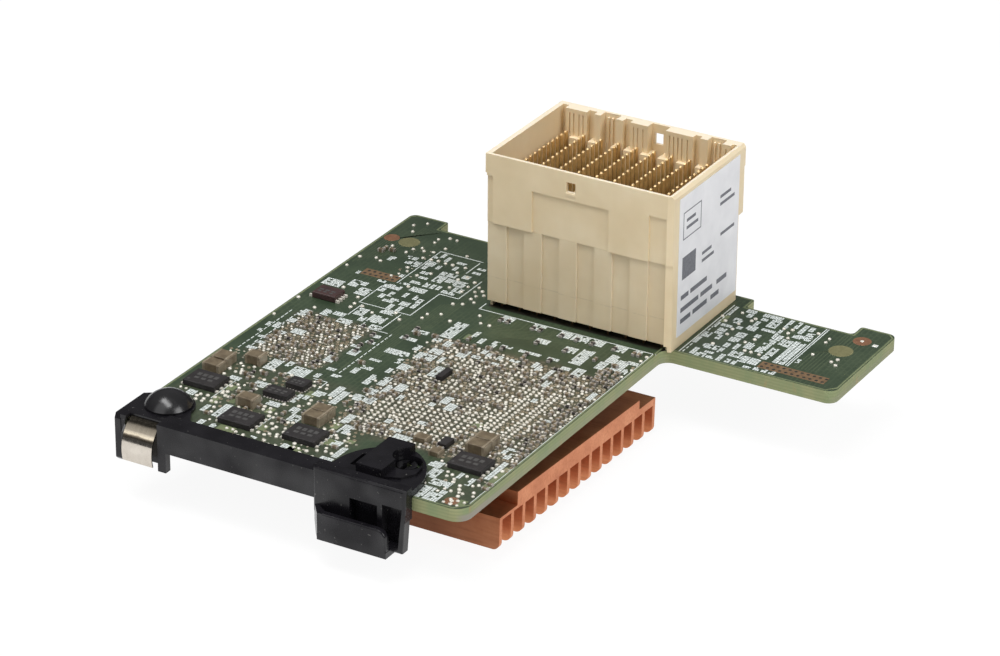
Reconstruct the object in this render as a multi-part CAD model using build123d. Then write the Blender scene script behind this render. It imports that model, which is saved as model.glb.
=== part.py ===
from build123d import *
import math
import os

# Mezzanine network card, millimetres, +Z up.
# Drawing frame: x = 0, y = 0 at the connector's front-left corner, z = 0 on the
# top face of the board.  SHIFT moves the drawing frame to the part frame, whose
# origin is the middle of the bounding box's floor.

# ---------------------------------------------------------------- driving sizes
BOARD_T = 2.0
X_LEFT, X_RIGHT, X_TAB = -26.45, 29.45, 57.1
Y_FRONT, Y_TAB, Y_BACK, Y_RECESS = -56.5, 1.16, 22.6, 19.7
X_REC1, X_REC1E, X_REC2, X_REC2E = -19.9, -2.6, 33.55, 51.25

CON_W, CON_D, CON_H = 31.0, 22.6, 25.0      # connector outside, height over board
CON_CX, CON_CY = 0.95, 0.35                 # bevel on its front-right upright corner
SHROUD_Z = 13.95                            # lower edge of the shroud walls
WALL_F, WALL_L, WALL_R, WALL_B = 0.5, 0.6, 0.75, 0.25
FLOOR_Z = 15.0                              # top of the wafers inside the shroud
TIP_Z = 21.5                                # tips of the contact blades
N_COL, COL_PITCH, COL_X0 = 10, 3.0, 2.0
N_ROW, ROW_PITCH, ROW_Y0 = 15, 1.33, 1.65
SLAB_X0, SLAB_PITCH = 0.3, 2.96
LEAD_W, LEAD_T = 0.6, 0.3
STAND = 1.0                                 # gap under the wafers' front lips

SINK_X0, SINK_X1 = 1.5, 29.5
SINK_Y, SINK_Z = -41.6, -3.85               # front top edge of the raised base
SINK_TILT = 2.4                             # the sink sits askew, back end low
SINK_L, SINK_FRONT, SINK_BACK = 35.6, 4.9, 5.0
SINK_STEP_F, SINK_STEP_B, SINK_BASE, SINK_H = 2.05, 1.45, 2.55, 7.1
N_FIN, FIN_T, FIN_R = 15, 0.75, 1.1

CLIP_X0, CLIP_Y0, CLIP_TOP = -27.15, -58.35, 1.0
TAB_TOP = 0.55                              # thinner tab round the dome rivet
DOME = (-22.0, -51.6)
DOME_R, DOME_H = 3.52, 2.0
PIN = (16.6, -50.0)
LIP_Y = -60.7

tilt = math.radians(SINK_TILT)
z_low = SINK_Z - (SINK_L + SINK_BACK) * math.sin(tilt) - SINK_H * math.cos(tilt)
y_max = CON_D + 0.25
SHIFT = (-(CLIP_X0 + X_TAB) / 2, -(LIP_Y + y_max) / 2, -z_low)
print("shift", [round(v, 4) for v in SHIFT])

nodes = {}


def bx(x0, x1, y0, y1, z0, z1):
    return Pos((x0 + x1) / 2, (y0 + y1) / 2, (z0 + z1) / 2) * Box(
        abs(x1 - x0), abs(y1 - y0), abs(z1 - z0))


def cyl(x, y, r, z0, z1):
    return Pos(x, y, (z0 + z1) / 2) * Cylinder(r, z1 - z0)


def prism(points, z0, z1):
    face = make_face(Polyline(*[(p[0], p[1]) for p in points], close=True))
    return extrude(Pos(0, 0, z0) * face, amount=z1 - z0, dir=(0, 0, 1))


def vertical_edges(solid, x, y, tol=0.05):
    return [e for e in solid.edges().filter_by(Axis.Z)
            if abs(e.center().X - x) < tol and abs(e.center().Y - y) < tol]


def add(name, *solids):
    out = []
    for s in solids:
        out.extend(s.solids())
    nodes[name] = out


# ------------------------------------------------------------------------ board
outline = [
    (X_LEFT, Y_FRONT), (X_RIGHT, Y_FRONT), (X_RIGHT, Y_TAB), (X_TAB, Y_TAB),
    (X_TAB, Y_BACK), (X_REC2E, Y_BACK), (X_REC2E, Y_RECESS), (X_REC2, Y_RECESS),
    (X_REC2, Y_BACK), (X_REC1E, Y_BACK), (X_REC1E, Y_RECESS), (X_REC1, Y_RECESS),
    (X_REC1, Y_BACK), (X_LEFT, Y_BACK)]
radii = [1.5, 2.3, 1.8, 1.6, 1.3, 0.5, 0.8, 0.6, 0.4, 0.5, 0.8, 0.6, 0.4, 1.2]
board = prism(outline, -BOARD_T, 0)
for (px, py), r in zip(outline, radii):
    board = fillet(vertical_edges(board, px, py), r)
board -= cyl(DOME[0], DOME[1], 1.6, -BOARD_T - 1, 1)
board -= cyl(PIN[0], PIN[1], 1.7, -BOARD_T - 1, 1)
add("circuit_board", board)

# -------------------------------------------------------------------- connector
shell = bx(0, CON_W, 0, CON_D, SHROUD_Z, CON_H)
shell -= prism([(CON_W - CON_CX, -0.01), (CON_W + 0.01, -0.01), (CON_W + 0.01, CON_CY)], 0, CON_H + 1)
shell -= bx(WALL_L, CON_W - WALL_R, WALL_F, CON_D - WALL_B, SHROUD_Z - 1, CON_H + 1)
# end walls that run down to the board, and the chamfered front-right post
for x0, x1 in ((0.25, 0.62), (CON_W - WALL_R - 0.1, CON_W)):
    shell += bx(x0, x1, 0.9, CON_D - 1.4, 0.0, SHROUD_Z + 0.2)
shell += prism([(29.92, 0.14), (CON_W, CON_CY + 0.14), (CON_W, 2.0), (CON_W - 0.85, 2.0),
                (CON_W - 0.85, 0.95), (29.92, 0.95)], 0, SHROUD_Z + 0.2)
shell -= bx(29.5, CON_W - 0.55, -1, 0.9, -1, 0.85)
# thick blocks and slots of the back wall, short ledges between the contact columns
for x0, x1, y0 in ((0.4, 1.6, 21.9), (1.6, 5.2, 20.8), (5.1, 6.55, 21.8), (6.5, 7.55, 20.8),
                   (10.27, 11.38, 20.8), (11.3, 12.65, 21.8), (12.6, 15.6, 20.85),
                   (18.63, 23.2, 20.8), (23.1, 24.35, 21.75), (24.3, 25.6, 20.95),
                   (28.1, 29.5, 20.8), (29.4, 30.4, 21.5)):
    shell += bx(x0, x1, y0, CON_D - 0.1, FLOOR_Z, CON_H)
for x0, x1 in ((2.6, 4.4), (5.8, 7.0), (9.7, 10.6), (11.9, 13.3), (14.7, 16.2), (17.7, 19.3),
               (20.8, 22.3), (24.0, 24.9), (26.8, 28.2)):
    shell += bx(x0, x1, 20.05, CON_D - 0.1, FLOOR_Z, 20.6)
for x in (2.3, 3.0, 3.9, 4.6, 13.2, 13.9, 14.8, 19.3, 20.0, 20.7, 21.4, 22.3, 28.7):
    shell -= bx(x - 0.11, x + 0.11, 20.5, 21.0, 20.7, CON_H - 0.7)
for x in (8.2, 8.9, 9.6, 26.2, 26.9, 27.5):
    shell += bx(x - 0.14, x + 0.14, CON_D - 0.55, CON_D - 0.1, FLOOR_Z, CON_H - 0.7)
# rim band standing proud along the back and the left
shell += bx(-0.22, 0.1, 0, CON_D, 21.9, CON_H)
shell += bx(-0.22, CON_W, CON_D - 0.1, CON_D + 0.25, 21.45, CON_H)
bevel = make_face(Polyline((CON_W - 0.38, CON_H + 0.01), (CON_W + 0.01, CON_H + 0.01), (CON_W + 0.01, CON_H - 0.5), close=True))
shell -= Pos(0, CON_D + 1, 0) * extrude(Plane.XZ * bevel, amount=CON_D + 2)
# shallow panel, side recesses, key window and sill in the front wall
shell -= bx(7.65, 20.45, -1, 0.30, SHROUD_Z - 1, 20.6)
shell -= bx(27.1, 29.9, -1, 0.30, SHROUD_Z - 1, 21.35)
shell -= bx(-1, 1.0, -1, 0.28, SHROUD_Z - 1, 21.5)
shell -= bx(13.4, 14.9, -1, 2, 21.9, 23.45)
shell += bx(13.3, 14.9, -0.1, 0.2, 21.35, 21.75)
shell -= bx(16.06, 17.47, CON_D - 1, CON_D + 2, 21.75, 23.55)
# guide ribs inside the front wall, between the contact columns
for k in range(1, N_COL):
    xr = COL_X0 + COL_PITCH * (k - 0.5)
    shell += bx(xr - 0.4, xr + 0.4, WALL_F - 0.1, WALL_F + 0.4, FLOOR_Z, 23.6)
add("connector_housing", shell)

y_rows = [ROW_Y0 + j * ROW_PITCH for j in range(N_ROW)]
for k in range(N_COL):
    xc = COL_X0 + k * COL_PITCH
    x0 = max(SLAB_X0 + SLAB_PITCH * k, 0.63) + 0.004
    x1 = SLAB_X0 + SLAB_PITCH * (k + 1) - 0.004
    proud = k % 2 == 0
    yf = 0.30 if proud else 0.62
    yb = CON_D - 1.05 if proud else CON_D - 1.35
    low_z = STAND if proud else STAND - 0.125
    wafer = bx(x0, x1, yf, yb, low_z, SHROUD_Z - 0.015)
    wafer += bx(x0, x1, yf + 2.4, yb - 2.4, 0.1, low_z + 0.1)
    if k == 0:
        wafer += bx(0.05, 0.7, yf, 0.88, STAND, SHROUD_Z - 0.015)
    wafer += bx(x0, x1, WALL_F + 0.3, CON_D - 0.8, SHROUD_Z - 0.4, FLOOR_Z)
    leads = []
    for yr in y_rows:
        lead = bx(xc - LEAD_T / 2, xc + LEAD_T / 2, yr - LEAD_W / 2, yr + LEAD_W / 2, 0.0, TIP_Z)
        wafer -= lead
        top_edges = [e for e in lead.edges().filter_by(Axis.X) if e.center().Z > TIP_Z - 0.01]
        leads.append(chamfer(top_edges, 0.2))
    add(f"contact_wafer_{k + 1:02d}", wafer)
    add(f"contact_leads_{k + 1:02d}", *leads)

add("side_label", bx(CON_W, CON_W + 0.08, 2.0, 20.9, 1.8, 23.95))

# -------------------------------------------------------------------- heat sink
sink_loc = Pos(0, SINK_Y, SINK_Z) * Rot(X=-SINK_TILT)
ya, yb = -SINK_FRONT, SINK_L + SINK_BACK
sink = bx(SINK_X0, SINK_X1, 0, SINK_L, -SINK_BASE, 0)
sink += bx(SINK_X0, SINK_X1, ya, 0.5, -SINK_BASE, -SINK_STEP_F)
sink += bx(SINK_X0, SINK_X1, SINK_L - 0.5, yb, -SINK_BASE, -SINK_STEP_B)
fin_face = Rectangle(SINK_X1 - SINK_X0, SINK_H - SINK_BASE + 0.2)
fin_face = fillet(fin_face.vertices().sort_by(Axis.Y)[:2], FIN_R)
fin_pitch = (yb - ya - FIN_T) / (N_FIN - 1)
for i in range(N_FIN):
    y0 = ya + i * fin_pitch
    fin = extrude(Plane.XZ * fin_face, amount=-FIN_T)
    zc = -SINK_H + (SINK_H - SINK_BASE + 0.2) / 2
    sink += Pos((SINK_X0 + SINK_X1) / 2, y0, zc) * fin
sink = sink_loc * sink
add("heat_sink", sink)


def sink_top(y):
    return SINK_Z - (y - SINK_Y) * math.tan(tilt)


# controller under the large via field, pad of wedge section down to the sink
CHIP_X, CHIP_Y, CHIP_S = 15.5, -24.0, 25.0
z1, z2, z3 = -BOARD_T, -BOARD_T - 1.05, -BOARD_T - 1.85
add("controller_substrate", bx(CHIP_X - CHIP_S / 2, CHIP_X + CHIP_S / 2,
                               CHIP_Y - CHIP_S / 2, CHIP_Y + CHIP_S / 2, z2, z1))
lid = bx(CHIP_X - 11, CHIP_X + 11, CHIP_Y - 11, CHIP_Y + 11, z3, z2)
lid = chamfer(lid.edges().filter_by(Axis.Z), 1.0)
add("controller_lid", lid)
pad_face = make_face(Polyline((CHIP_Y - 10, z3), (CHIP_Y + 10, z3),
                              (CHIP_Y + 10, sink_top(CHIP_Y + 10)),
                              (CHIP_Y - 10, sink_top(CHIP_Y - 10)), close=True))
pad = extrude(Plane.YZ * pad_face, amount=20)
add("thermal_pad", Pos(CHIP_X - 10, 0, 0) * pad)

# ------------------------------------------------------------------- edge clip
EPS = 0.03
BAR_Z = -3.25                               # underside of the bar
XH0, XH1, HOOK_Y = 6.6, 21.65, -58.75        # hook plate, standing proud of the bar
SPRING_X0, SPRING_X1, SPRING_T = -25.1, -20.0, 0.2
clip = bx(-19.5, XH1 - 0.3, CLIP_Y0, -54.95, EPS, CLIP_TOP)             # top flange
clip += bx(-19.5, XH1 - 0.3, CLIP_Y0, Y_FRONT - EPS, BAR_Z, CLIP_TOP)   # front wall
clip += bx(-17.4, 20.0, CLIP_Y0, -55.2, BAR_Z, -BOARD_T - EPS)          # lower flange
clip += bx(-19.5, -18.15, CLIP_Y0, CLIP_Y0 + 1.15, -6.4, 0)             # leg
clip += bx(-22.0, -19.4, -57.3, Y_FRONT - 0.05, -5.8, -0.9)              # inner wall behind the spring
# left tab round the dome rivet, with a seat for the spring's tail; end plate beside the board
clip += cyl(DOME[0], DOME[1], 3.8, EPS, TAB_TOP)
clip += prism([(CLIP_X0, -57.35), (-25.3, -57.35), (-25.2, -56.45), (-18.9, -56.45), (-18.9, -55.2),
               (-16.6, -55.2), (-16.6, -54.2), (-18.3, -51.4), (-20.0, -48.5), (-24.5, -48.6),
               (CLIP_X0, -50.4)], EPS, TAB_TOP)
clip -= bx(SPRING_X0 - 0.05, SPRING_X1 + 0.05, -57.0, -54.5, -0.5, SPRING_T + 0.05)
end_face = make_face(Polyline((-57.7, -0.2), (-57.35, TAB_TOP), (-50.4, TAB_TOP), (-50.4, -1.6),
                              (-53.0, -6.1), (-55.6, -6.9), (-57.2, -6.9), (-57.7, -6.4), close=True))
end_plate = extrude(Plane.YZ * end_face, amount=1.0)
clip += Pos(CLIP_X0, 0, 0) * end_plate
gusset = make_face(Polyline((CLIP_X0 + 0.9, TAB_TOP), (-25.25, TAB_TOP), (-25.55, -0.8),
                            (CLIP_X0 + 0.9, -2.6), close=True))
clip += Pos(0, -57.0, 0) * extrude(Plane.XZ * gusset, amount=0.6)
# right tab: rounded flange, raised block, pit for the snap pin
tab = make_face([Spline((7.6, -55.6), (8.2, -51.6), (10.4, -48.3), (13.6, -46.75), (15.9, -46.5), (17.4, -47.36),
                        (19.0, -48.83), (20.1, -50.6), (20.94, -52.5), (21.25, -54.4), (21.1, -55.6)),
                 Line((21.1, -55.6), (7.6, -55.6))])
clip += extrude(Pos(0, 0, EPS) * tab, amount=CLIP_TOP - EPS, dir=(0, 0, 1))
clip += bx(12.0, 16.2, -56.0, -47.1, EPS, 2.6)
clip += prism([(15.5, -55.9), (15.5, -47.1), (16.6, -47.3), (18.3, -48.6), (19.4, -50.6), (19.6, -52.6),
               (18.4, -54.6)], EPS, 1.35)
clip -= cyl(PIN[0] + 0.35, PIN[1] - 0.4, 2.1, 0.0, 4)
clip -= bx(9.9, 11.4, -54.2, -50.6, CLIP_TOP - 0.55, 4)
# hook: back plate with windows, floor, lip and angled side wall
outline = make_face(Polyline((XH0, 1.9), (XH1, 1.9), (XH1 - 0.75, -8.2), (XH0 + 0.7, -8.2), (XH0, -5.0), close=True))
plate = Pos(0, -56.95, 0) * extrude(Plane.XZ * outline, amount=-56.95 - HOOK_Y)
clip += fillet(plate.faces().sort_by(Axis.Y)[0].edges(), 0.6)
clip -= bx(12.65, 17.1, -62, -57.35, -7.2, -1.45)
window = make_face(Polyline((17.9, -1.05), (XH1 - 0.6, -1.05), (XH1 - 1.25, -7.2), (17.9, -7.2), close=True))
clip -= Pos(0, -57.35, 0) * extrude(Plane.XZ * window, amount=5)
clip += bx(8.5, 19.65, LIP_Y, -57.0, -8.2, -7.25)
lip = bx(8.6, 19.6, LIP_Y, LIP_Y + 0.85, -8.0, -3.95)
lip = fillet([e for e in lip.edges().filter_by(Axis.Y) if e.center().X > 19 and e.center().Z > -4.1], 1.5)
lip = fillet([e for e in lip.faces().sort_by(Axis.Y)[0].edges() if e.center().Z > -7.5 and e.center().X > 8.7], 0.3)
clip += lip
clip += prism([(XH0, -57.0), (XH0, HOOK_Y + 0.5), (8.55, LIP_Y), (9.4, LIP_Y), (9.4, LIP_Y + 0.85),
               (7.5, HOOK_Y + 0.2), (7.5, -57.0)], -8.1, -4.0)
# scooped underside at the open end, draft
clip -= Pos(20.2, -59.2, -8.75) * Rot(Y=90) * Cylinder(1.0, 1.0)
low = make_face(Polyline((XH0 - 0.1, -8.3), (XH0 + 1.1, -8.3), (XH0 - 0.1, -6.6), close=True))
clip -= Pos(0, -56, 0) * extrude(Plane.XZ * low, amount=8)
clip -= cyl(DOME[0], DOME[1], 1.55, -1, 2)
clip -= bx(X_LEFT - EPS, X_RIGHT + 1, Y_FRONT - EPS, 0, -BOARD_T - EPS, EPS)
add("edge_clip", clip)

# dome rivet: cap, shank through tab and board, flare under the board
cap_z = TAB_TOP + 0.03
ball = (DOME_R ** 2 + DOME_H ** 2) / (2 * DOME_H)
cap = Pos(DOME[0], DOME[1], cap_z + 0.25 + DOME_H - ball) * Sphere(ball)
cap &= bx(DOME[0] - 5, DOME[0] + 5, DOME[1] - 5, DOME[1] + 5, cap_z + 0.25, 8)
rivet = cap + cyl(DOME[0], DOME[1], DOME_R, cap_z, cap_z + 0.25)
rivet += cyl(DOME[0], DOME[1], 1.45, -BOARD_T - 1.0, cap_z + 0.1)
rivet += cyl(DOME[0], DOME[1], 2.2, -BOARD_T - 1.1, -BOARD_T - EPS)
add("dome_rivet", rivet)

# split snap pin in the right tab
pin = cyl(PIN[0], PIN[1], 1.45, -BOARD_T - 1.2, 0.75)
pin += cyl(PIN[0], PIN[1], 2.2, -BOARD_T - 1.1, -BOARD_T - EPS)
pin -= bx(PIN[0] - 0.35, PIN[0] + 0.35, PIN[1] - 3, PIN[1] + 3, -0.9, 2)
pin -= cyl(PIN[0], PIN[1], 0.6, -1.4, 2)
add("snap_pin", pin)

# grounding spring: tail clamped under the tab, bowed strip in front of the board's edge
outer = [(-56.55, 0.02 + SPRING_T), (-57.2, -0.12), (-57.95, -0.9), (-58.75, -2.1), (-59.1, -3.3),
         (-59.15, -4.5), (-58.95, -5.75)]
inner = [(-58.75, -5.72), (-58.95, -4.5), (-58.9, -3.32), (-58.56, -2.2), (-57.82, -1.07), (-57.08, -0.3),
         (-56.57, 0.02)]
strip = make_face([Line((-54.6, 0.02), (-54.6, 0.02 + SPRING_T)), Line((-54.6, 0.02 + SPRING_T), outer[0]),
                   Spline(*outer), Line(outer[-1], inner[0]), Spline(*inner), Line(inner[-1], (-54.6, 0.02))])
spring = extrude(Plane.YZ * strip, amount=SPRING_X1 - SPRING_X0)
add("grounding_spring", Pos(SPRING_X0, 0, 0) * spring)

# --------------------------------------------------------------- chips and parts
POWER = [(-24.45, -44.5), (-13.65, -51.8), (-3.15, -51.3), (21.05, -46.7)]
PW, PD, PH = 5.45, 4.0, 0.95
bodies, legs = [], []
for x, y in POWER:
    b = bx(x, x + PW, y, y + PD, 0.08, PH)
    bodies.append(chamfer(b.faces().sort_by(Axis.Z)[-1].edges(), 0.12))
    for i in range(4):
        yl = y + 0.1 + i * 1.2
        legs.append(bx(x + PW, x + PW + 0.4, yl, yl + 0.45, 0, 0.25))
        legs.append(bx(x - 0.4, x, yl, yl + 0.45, 0, 0.25))
add("power_transistors", *bodies)
add("transistor_leads", *legs)
add("driver_chip", bx(-12.6, -8.6, -41.7, -39.3, 0, 0.9))
add("regulator_chip", bx(-11.2, -8.2, -37.9, -35.4, 0, 0.9))
mem = bx(-23.9, -19.9, -10.8, -7.9, 0.1, 1.05)
add("memory_chip", chamfer(mem.faces().sort_by(Axis.Z)[-1].edges(), 0.12))
mem_legs = []
for i in range(4):
    yl = -10.65 + i * 0.75
    mem_legs.append(bx(-19.9, -19.3, yl, yl + 0.35, 0, 0.4))
    mem_legs.append(bx(-24.5, -23.9, yl, yl + 0.35, 0, 0.4))
add("memory_leads", *mem_legs)

BIG = [  # x0, x1, y0, y1, height
    (-14.4, -11.4, -46.0, -43.9, 1.5), (-3.4, -0.4, -45.8, -43.75, 1.5),
    (-3.4, -0.4, -43.6, -41.5, 1.5), (-24.6, -21.7, -39.3, -37.3, 1.4),
    (-24.6, -21.9, -36.9, -34.3, 1.4), (-20.6, -18.0, -34.2, -32.1, 1.5),
    (20.8, 23.9, -41.4, -39.3, 1.5), (20.8, 23.9, -39.1, -37.0, 1.5),
    (12.9, 15.1, -42.4, -40.8, 0.8), (16.9, 18.7, -44.9, -43.4, 0.8)]
caps = []
for x0, x1, y0, y1, h in BIG:
    caps.append(fillet(bx(x0, x1, y0, y1, 0, h).edges(), 0.12))
add("large_capacitors", *caps)
add("small_diodes", bx(16.8, 18.2, -42.2, -39.9, 0, 0.7), bx(6.0, 7.0, -24.6, -21.5, 0, 0.7))

SMALL_C = [(3.8, -43.4), (-16.6, -36.2), (-18.8, -37.6), (-15.9, -40.2), (4.6, -15.3), (-1.6, -13.2),
           (-4.4, -13.8), (7.2, -12.6), (1.6, -28.0), (6.9, -27.0), (-1.0, -33.2), (-22.3, -24.0),
           (-10.4, -27.0), (-6.4, -26.0), (25.8, -8.2), (20.6, -14.8), (-22.6, 9.0), (-24.0, 8.0)]
add("small_capacitors", *[bx(x, x + 1.0, y, y + 0.55, 0, 0.5) for x, y in SMALL_C])
SMALL_R = [(4.1, -3.6), (5.3, -3.6), (9.6, -3.6), (10.8, -3.6), (14.4, -3.6), (17.0, -3.6), (19.6, -3.6),
           (23.2, -3.4), (12.4, -7.4), (17.3, -7.6), (9.0, -11.6), (13.0, -11.6), (16.9, -11.6),
           (-5.0, -15.8), (-5.0, -12.6), (-9.6, -17.6), (-8.6, -19.8), (-9.4, -21.4), (-9.0, -23.2)]
add("chip_resistors", *[bx(x, x + 0.55, y, y + 1.0, 0, 0.35) for x, y in SMALL_R])

# underside
zb = -BOARD_T
add("companion_chip", bx(-23.5, -10.5, -30.0, -15.5, zb - 1.5, zb))
coils = []
for x, y in ((-21.3, -41.5), (-12.5, -44.5), (-4.2, -44.5)):
    c = bx(x - 3.3, x + 3.3, y - 3.3, y + 3.3, zb - 3.0, zb)
    coils.append(fillet(c.edges().filter_by(Axis.Z), 0.6))
add("power_inductors", *coils)
add("polymer_capacitors", *[fillet(bx(x, x + 4.3, y, y + 7.3, zb - 2.0, zb).edges(), 0.15)
                            for x, y in ((-8.6, -36.5), (-3.4, -36.5), (35.5, 6.0))])
add("clock_crystal", fillet(bx(-7.5, -2.5, -14.0, -10.8, zb - 1.1, zb).edges().filter_by(Axis.Z), 0.4))
add("underside_chips", bx(-20.0, -15.0, 2.0, 6.0, zb - 1.2, zb), bx(40.5, 46.5, 5.0, 11.0, zb - 1.0, zb))

# ----------------------------------------------------------------------- export
os.makedirs("parts", exist_ok=True)
for name, solids in nodes.items():
    moved = [Pos(*SHIFT) * s for s in solids]
    body = moved[0] if len(moved) == 1 else Compound(children=moved)
    body.label = name
    export_step(body, f"parts/{name}.step")
    bb = body.bounding_box()
    print(name, len(solids), [round(v, 2) for v in (*bb.min, *bb.max)])
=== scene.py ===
import math
import random

import bpy
from mathutils import Matrix, Vector


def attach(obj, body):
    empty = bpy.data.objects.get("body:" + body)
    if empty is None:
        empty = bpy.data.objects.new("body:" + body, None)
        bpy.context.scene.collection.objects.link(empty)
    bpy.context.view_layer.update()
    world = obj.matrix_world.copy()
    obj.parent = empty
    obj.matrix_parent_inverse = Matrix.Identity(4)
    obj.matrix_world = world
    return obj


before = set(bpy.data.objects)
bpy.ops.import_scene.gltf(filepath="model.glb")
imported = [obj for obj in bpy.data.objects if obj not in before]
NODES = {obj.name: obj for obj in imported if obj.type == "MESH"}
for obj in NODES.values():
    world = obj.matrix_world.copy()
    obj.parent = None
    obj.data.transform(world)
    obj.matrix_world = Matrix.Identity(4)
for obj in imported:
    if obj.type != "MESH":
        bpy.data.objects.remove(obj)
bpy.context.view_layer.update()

# Drawing frame in millimetres: x = y = 0 at the header's front-left corner, z = 0 on the board's top.
SX, SY, SZ = -14.975, 18.925, 12.6439
MM = 0.001


def P(x, y, z):
    return ((x + SX) * MM, (y + SY) * MM, (z + SZ) * MM)


# ------------------------------------------------------------------ materials
def new_mat(name):
    m = bpy.data.materials.new(name)
    m.use_nodes = True
    nt = m.node_tree
    return m, nt, nt.nodes["Principled BSDF"]


def coords(nt, scale=1000.0, rot=(0, 0, 0)):
    tc = nt.nodes.new("ShaderNodeTexCoord")
    mp = nt.nodes.new("ShaderNodeMapping")
    s = scale if isinstance(scale, (tuple, list)) else (scale, scale, scale)
    mp.inputs["Scale"].default_value = s
    mp.inputs["Rotation"].default_value = rot
    nt.links.new(tc.outputs["Object"], mp.inputs["Vector"])
    return mp.outputs["Vector"]


def noise(nt, vec, scale, detail=3.0, rough=0.55, distortion=0.0):
    n = nt.nodes.new("ShaderNodeTexNoise")
    n.inputs["Scale"].default_value = scale
    n.inputs["Detail"].default_value = detail
    n.inputs["Roughness"].default_value = rough
    n.inputs["Distortion"].default_value = distortion
    nt.links.new(vec, n.inputs["Vector"])
    return n.outputs["Fac"]


def ramp(nt, fac, stops, interp="LINEAR"):
    r = nt.nodes.new("ShaderNodeValToRGB")
    r.color_ramp.interpolation = interp
    els = r.color_ramp.elements
    while len(els) < len(stops):
        els.new(0.5)
    for e, (pos, col) in zip(els, stops):
        e.position = pos
        e.color = (*col, 1.0) if len(col) == 3 else col
    nt.links.new(fac, r.inputs["Fac"])
    return r.outputs["Color"]


def grey(nt, fac, lo, hi, a=0.0, b=1.0):
    r = nt.nodes.new("ShaderNodeMapRange")
    r.inputs["From Min"].default_value = a
    r.inputs["From Max"].default_value = b
    r.inputs["To Min"].default_value = lo
    r.inputs["To Max"].default_value = hi
    nt.links.new(fac, r.inputs["Value"])
    return r.outputs["Result"]


def mix(nt, fac, a, b, blend="MIX"):
    m = nt.nodes.new("ShaderNodeMix")
    m.data_type = "RGBA"
    m.blend_type = blend
    for sock, val in ((m.inputs[0], fac), (m.inputs[6], a), (m.inputs[7], b)):
        if hasattr(val, "is_output"):
            nt.links.new(val, sock)
        elif isinstance(val, (tuple, list)):
            sock.default_value = (*val, 1.0) if len(val) == 3 else val
        else:
            sock.default_value = val
    return m.outputs[2]


def math_node(nt, op, a, b=None):
    n = nt.nodes.new("ShaderNodeMath")
    n.operation = op
    for i, val in enumerate((a, b)):
        if val is None:
            continue
        if hasattr(val, "is_output"):
            nt.links.new(val, n.inputs[i])
        else:
            n.inputs[i].default_value = val
    return n.outputs[0]


def bump(nt, bsdf, height, strength, dist_mm):
    b = nt.nodes.new("ShaderNodeBump")
    b.inputs["Strength"].default_value = strength
    b.inputs["Distance"].default_value = dist_mm * MM
    nt.links.new(height, b.inputs["Height"])
    nt.links.new(b.outputs["Normal"], bsdf.inputs["Normal"])


def axis_of(nt, vec, i):
    s = nt.nodes.new("ShaderNodeSeparateXYZ")
    nt.links.new(vec, s.inputs[0])
    return s.outputs[i]


def normal_axis(nt, i):
    g = nt.nodes.new("ShaderNodeNewGeometry")
    return axis_of(nt, g.outputs["Normal"], i)


def plain(name, stops, rough=(0.4, 0.6), metallic=0.0, scale=0.6, fine=6.0, bump_s=0.15, bump_mm=0.05,
          spec=0.5, detail=4.0, stretch=(1, 1, 1)):
    """Colour cloud, roughness cloud and fine bump."""
    m, nt, b = new_mat(name)
    v = coords(nt, tuple(1000.0 * k for k in stretch))
    n1 = noise(nt, v, scale, detail)
    n2 = noise(nt, v, fine, 3.0)
    nt.links.new(ramp(nt, n1, stops), b.inputs["Base Color"])
    nt.links.new(grey(nt, n2, rough[0], rough[1], 0.3, 0.7), b.inputs["Roughness"])
    b.inputs["Metallic"].default_value = metallic
    b.inputs["Specular IOR Level"].default_value = spec
    bump(nt, b, n2, bump_s, bump_mm)
    return m


def region_mask(nt, x, y, x0, x1, y0, y1, soft=0.8):
    """One inside a rectangle of the drawing frame, zero outside, with soft sides."""
    out = None
    for sock, lo, hi in ((x, x0 + SX, x1 + SX), (y, y0 + SY, y1 + SY)):
        for part in (grey(nt, sock, 0.0, 1.0, lo - soft, lo + soft), grey(nt, sock, 1.0, 0.0, hi - soft, hi + soft)):
            out = part if out is None else math_node(nt, "MULTIPLY", out, part)
    return out


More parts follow.
